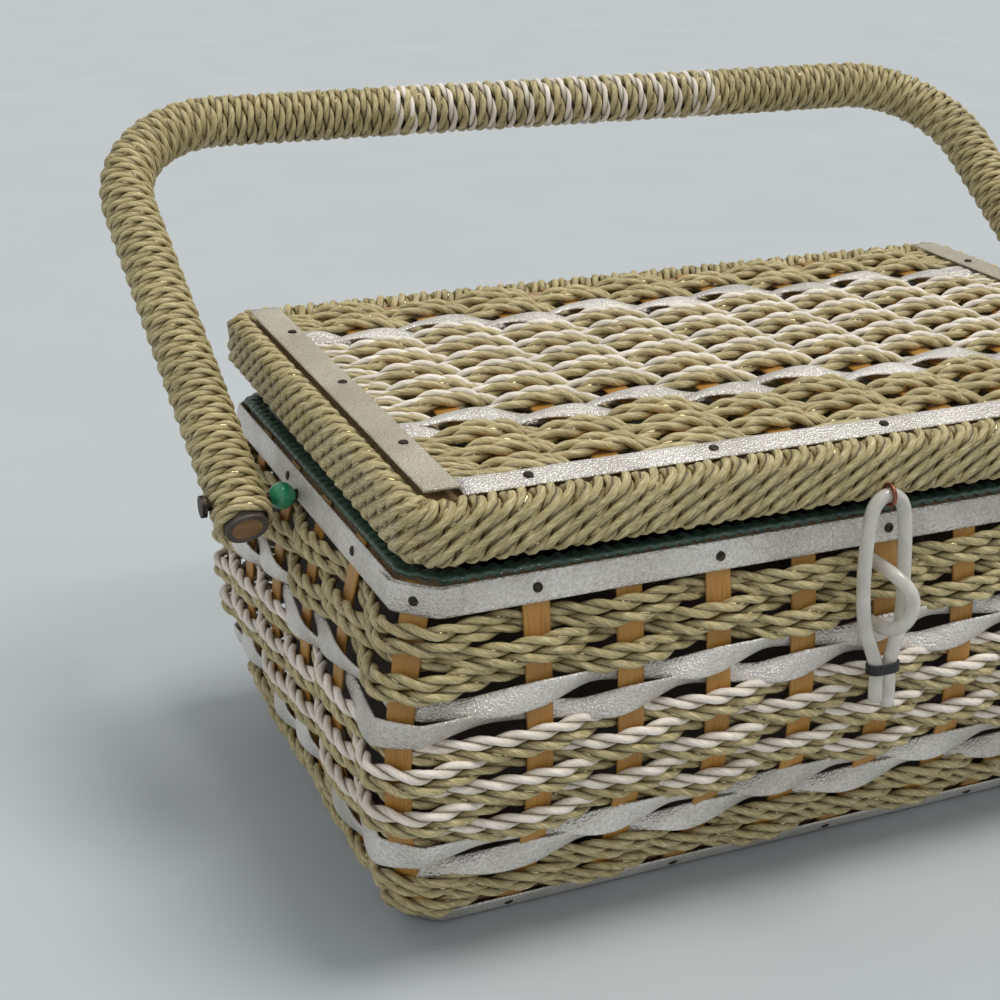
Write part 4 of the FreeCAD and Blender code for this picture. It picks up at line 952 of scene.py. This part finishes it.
grip = np.linspace((-GRIP_HALF, 0.0, HANDLE_REACH), (GRIP_HALF, 0.0, HANDLE_REACH), 257)
GRIP_PITCH = 2.0 * (GRIP_HALF - GRIP_INSET) / GRIP_TURNS
for name, material, inset, width in (
    ("white", white, GRIP_INSET, 1.12),
    ("khaki", khaki, GRIP_INSET + GRIP_PITCH / 2, 1.5),
):
    middle, out = wound_on(grip, GRIP_PITCH, WRAP_RADIUS, inset, 2 * GRIP_HALF - inset, 0.0)
    cord = leaned(cord_patch(middle, out, 1.5, sides=12, flat=(width, 0.95), lay=17.0))
    add_piece(f"{name}_grip_cord", [cord], material, "handle", [f"{name}_grip_binding"])


# Latch and catch
LATCH_AXIS = np.array([LATCH_X, -93.4998, 120.8273])
LATCH_LEAN = math.radians(4.5)


def hung(item):
    """A patch of the upright latch, leaned off the wall and set on its axis."""
    return set_down(item, -LATCH_LEAN, LATCH_AXIS)


loop_points = [
    (2.05, 0, -60.5), (2.05, 0, -54.0), (2.05, 0, -48.5), (3.6, 0, -43.0), (5.4, 0, -36.0), (5.7, 0, -24.0),
    (5.5, 0, -10.0), (4.2, 0, -2.6), (0.0, 0, 0.0), (-4.4, 0, -2.8), (-6.2, 0, -11.0), (-7.0, 0, -24.0),
    (-6.2, 0, -36.0), (-3.9, 0, -43.0), (-2.05, 0, -48.5), (-2.05, 0, -54.0), (-2.05, 0, -58.5),
]
loop_path = spline(loop_points, 0.8)
FRONT = np.array([0.0, -1.0, 0.0])
loop_patch = hung(tube_patch(loop_path, FRONT, TUBE_RADIUS))
add_piece("latch_tube", [loop_patch], clear, "latch", ["latch_loop"])

turn = np.linspace(0.0, 5.0, 260)
oval = np.column_stack([np.cos(turn * TURN), np.sin(turn * TURN)])
oval_path = np.sign(oval) * np.abs(oval) ** (0.8, 0.6) * (4.45, 2.4)
thread_path = np.column_stack([oval_path, -50.4 + turn * 0.58])
thread_out = np.column_stack([oval, np.zeros(len(turn))])
thread_loops = hung(tube_patch(thread_path, thread_out, 0.36, sides=8))
add_piece("latch_binding", [thread_loops], thread_black, "latch", ["latch_thread"])

catch_points = [
    (0.0, -82.5, 100.0), (0.0, -92.0, 100.2), (0.6, -98.6, 99.4), (3.0, -101.8, 96.4), (4.5, -102.3, 91.5),
    (3.0, -101.8, 86.8), (0.6, -98.6, 83.8), (0.0, -92.0, 82.8), (0.0, -82.5, 83.0),
]
catch_path = spline(np.array(catch_points) + (LATCH_X, 0.0, 0.0), 0.8)
SIDEWAYS = np.array([1.0, 0.0, 0.0])
catch_patch = tube_patch(catch_path, SIDEWAYS, TUBE_RADIUS)
add_piece("catch_tube", [catch_patch], clear, "basket", ["catch_loop"])


# Lining
PLEAT = 11.0
LINING_FOOT, LINING_RISE = 8.2, WALL_HEIGHT - 8.4


def panel_patch(foot, head, foot_half, head_half, across, seed):
    """Padded satin panel: a leaning slab whose inner face swells between slow gathers. It is worked out
    for the front wall and turned round to its own by across, in degrees."""
    u = np.linspace(-1.0, 1.0, 121)[:, None]
    v = np.linspace(0.0, 1.0, 41)[None, :]
    half = foot_half * (1 - v) + head_half * v
    x = u * half
    outer = -(foot * (1 - v) + head * v) + 0 * u
    edge = np.clip(np.minimum(1 - np.abs(u), np.minimum(v, 1 - v) * 2.2) * 7.0, 0.0, 1.0)
    gathers = 0.30 * np.cos(x * TURN / PLEAT + 0.6 * np.sin(v * 5.0 + seed)) * (1 - 0.5 * v)
    inner = outer + 1.0 + (0.95 + gathers) * np.sqrt(edge)
    z = LINING_FOOT + LINING_RISE * v + 0 * u
    turn = math.radians(across)
    spin = np.array([[math.cos(turn), math.sin(turn), 0], [-math.sin(turn), math.cos(turn), 0], [0, 0, 1]])
    faces = [np.stack([x, y, z], axis=-1) @ spin for y in (inner, outer + 0.02)]
    return slab_patch(u, *faces)


# From the middle of the stakes in to the lining: half a stake, a gap, a pressed cord and a gap
INMOST = 0.6 + 0.3 + 3.0 + 0.5
FOOT_X, FOOT_Y = (float(size) - INMOST for size in wall_halves(8.0))
HEAD_X, HEAD_Y = RIM_HALF_WIDTH - 5.25, RIM_HALF_DEPTH - 5.25
CORNER_ROOM = 10.0


def corner_gore(side_x, side_y):
    """Satin across an inside corner: a thin flat slab between the ends of two panels, as tall as they are."""
    u = np.linspace(0.0, 1.0, 9)[:, None]
    v = np.linspace(0.0, 1.0, 41)[None, :]
    near, far = 1.1, CORNER_ROOM + 1.0
    x = FOOT_X * (1 - v) + HEAD_X * v - (far * (1 - u) + near * u)
    y = FOOT_Y * (1 - v) + HEAD_Y * v - (near * (1 - u) + far * u)
    outer = np.stack([x, y, LINING_FOOT + LINING_RISE * v + 0 * u], axis=-1)
    faces = [face * (side_x, side_y, 1.0) for face in (outer - (0.8, 0.8, 0.0), outer)]
    return slab_patch(u, *faces) if side_x * side_y < 0 else slab_patch(u, faces[0][::-1], faces[1][::-1])


LONG_WALL = (FOOT_Y, HEAD_Y, FOOT_X - CORNER_ROOM, HEAD_X - CORNER_ROOM + 2)
SHORT_WALL = (FOOT_X, HEAD_X, FOOT_Y - CORNER_ROOM, HEAD_Y - CORNER_ROOM + 2)
for name, sizes, across, seed, corner_sides in (
    ("front", LONG_WALL, 0, 5, ((-1, -1), (1, -1))),
    ("back", LONG_WALL, 180, 4, ((-1, 1), (1, 1))),
    ("right", SHORT_WALL, 90, 5, ()),
    ("left", SHORT_WALL, 270, 4, ()),
):
    panel = panel_patch(*sizes, across, seed)
    gores = [corner_gore(*sides) for sides in corner_sides]
    piece = add_piece(f"{name}_satin", [panel] + gores, satin, "basket", [f"{name}_lining"])


def cushion_patch(half_x, half_y, corner, low, high, belly, carded=False, rows=26, around=160):
    """Flat cushion: rings with cut corners that swell to the middle of its edge and close on a
    crowned face below and a flat one above, which shows its card if carded."""
    t = np.linspace(0.0, 1.0, rows)
    angle = t * math.pi
    shrink = np.sin(angle) ** 0.35
    height = np.cos(angle)
    z = (high + low) / 2 + (high - low) / 2 * np.sign(height) * np.abs(height) ** 0.45
    crown = np.where(height < 0, -belly * (1 - shrink**2), 0.0)
    s = np.linspace(0.0, 1.0, around, endpoint=False)
    rings = []
    for scale, level in zip(np.maximum(shrink, 0.015), z + crown):
        hx, hy = max(half_x * scale, half_x - half_y * (1 - scale)), half_y * scale
        cut = min(corner, 0.9 * hy)
        ring, _ = plan_point(s * plan_run(hx, hy, cut), hx, hy, cut)
        rings.append(np.column_stack([ring, np.full(around, level)]))
    points = np.stack(rings)[::-1]
    uv = np.stack(np.meshgrid(t, np.linspace(0.0, 1.0, around + 1), indexing="ij"), axis=-1)
    if carded:
        uv[t > 0.55, :, 1] = 2.0
    return patch(points, uv)


floor_pad = cushion_patch(FOOT_X - 2.6, FOOT_Y - 2.6, 3.0, 8.05, 10.0, 0.0)
add_piece("floor_satin", [floor_pad], satin, "basket", ["base_lining"])
lid_pad = tilted(cushion_patch(123.5, 68.5, 12.0, 0.2, 9.8, 5.0, carded=True))
lid_flange = tilted(cushion_patch(124.0, 76.0, 3.0, 9.2, 9.9, 0.0, carded=True))
add_piece("lid_satin", [lid_pad, lid_flange], satin, "lid", ["lid_lining"])


def trim_patch():
    """Braid round the mouth: a low half-round whose edges scallop as it goes."""
    half_x, half_y = RIM_HALF_WIDTH - 1.6, RIM_HALF_DEPTH - 1.6
    run = plan_run(half_x, half_y, WALL_CORNER)
    s = np.linspace(0.0, run, 1400, endpoint=False)
    place, normal = plan_point(s, half_x, half_y, WALL_CORNER)
    scallop, level = 4.4, 112.95
    wave = np.sin(s * TURN / (run / round(run / scallop)))
    z = level + wander(s * 0.03, 0.2, 77)
    points = np.column_stack([place, z])
    out = np.column_stack([normal, np.zeros(len(s))])
    return band_patch(points, out, 0.95 + 0.25 * wave, 2.2, tilt=0.2 * wave, crown=0.2, closed=True)


add_piece("mouth_braid", [trim_patch()], braid, "basket", ["lining_trim"])

# Finishes of the CAD nodes that stay
for name, material in (
    ("base_board", raw_wood),
    ("rim_lath", raw_wood),
    ("lid_frame", raw_wood),
    ("lid_ledge", raw_wood),
    ("handle_core", rod_wood),
    ("handle_tube", fibre),
    ("pivot_pins", nail_metal),
    ("pivot_beads", jade),
    ("hinge_rings", clear),
    ("latch_staple", copper),
):
    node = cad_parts[name]
    node.data.materials.clear()
    node.data.materials.append(material)


# Stage: floor, light and camera
def make_floor():
    """Wide pale floor."""
    half = 8.0
    mesh = bpy.data.meshes.new("floor")
    corners = [(-half, -half, 0.0), (half, -half, 0.0), (half, half, 0.0), (-half, half, 0.0)]
    mesh.from_pydata(corners, [], [(0, 1, 2, 3)])
    floor = add_object("floor", mesh)
    finish = Finish("pale_floor")
    weave = finish.noise(finish.place, 9.0, 4.0)
    colour = finish.ramp(weave, ((0.3, (0.475, 0.510, 0.530)), (0.7, (0.500, 0.530, 0.545))))
    finish.join(colour, "Base Color")
    finish.set(Roughness=0.85, Specular_IOR_Level=0.2)
    floor.data.materials.append(finish.material)


make_floor()
key_data = bpy.data.lights.new("key", "SUN")
key_data.energy = 1.8
key_data.angle = math.radians(26.0)
key_data.color = (1.0, 0.97, 0.92)
key = add_object("key", key_data)
key.rotation_euler = Vector((-0.36, 0.14, -1.0)).to_track_quat("-Z", "Y").to_euler()
world = bpy.data.worlds.new("studio")
world.use_nodes = True
background = world.node_tree.nodes["Background"]
background.inputs["Color"].default_value = (0.95, 0.98, 1.0, 1.0)
background.inputs["Strength"].default_value = 0.60
bpy.context.scene.world = world
bpy.context.scene.view_settings.view_transform = "Standard"

CAMERA_PLACE = Vector((-0.259, -0.437, 0.279))
CAMERA_AHEAD = Vector((0.3563, 0.8624, -0.3597))
CAMERA_RIGHT = Vector((0.9242, -0.3819, 0.0))
SENSOR = 36.0
FOCAL_PIXELS, FRAME_PIXELS = 1680.0, 1000.0
camera_data = bpy.data.cameras.new("camera")
camera_data.sensor_width = SENSOR
camera_data.lens = SENSOR * FOCAL_PIXELS / FRAME_PIXELS
camera_data.clip_start = 0.01
camera = add_object("camera", camera_data)
ahead = CAMERA_AHEAD.normalized()
right = (CAMERA_RIGHT - ahead * CAMERA_RIGHT.dot(ahead)).normalized()
up = right.cross(ahead)
camera.matrix_world = Matrix.Translation(CAMERA_PLACE) @ Matrix((right, up, -ahead)).transposed().to_4x4()
bpy.context.scene.camera = camera
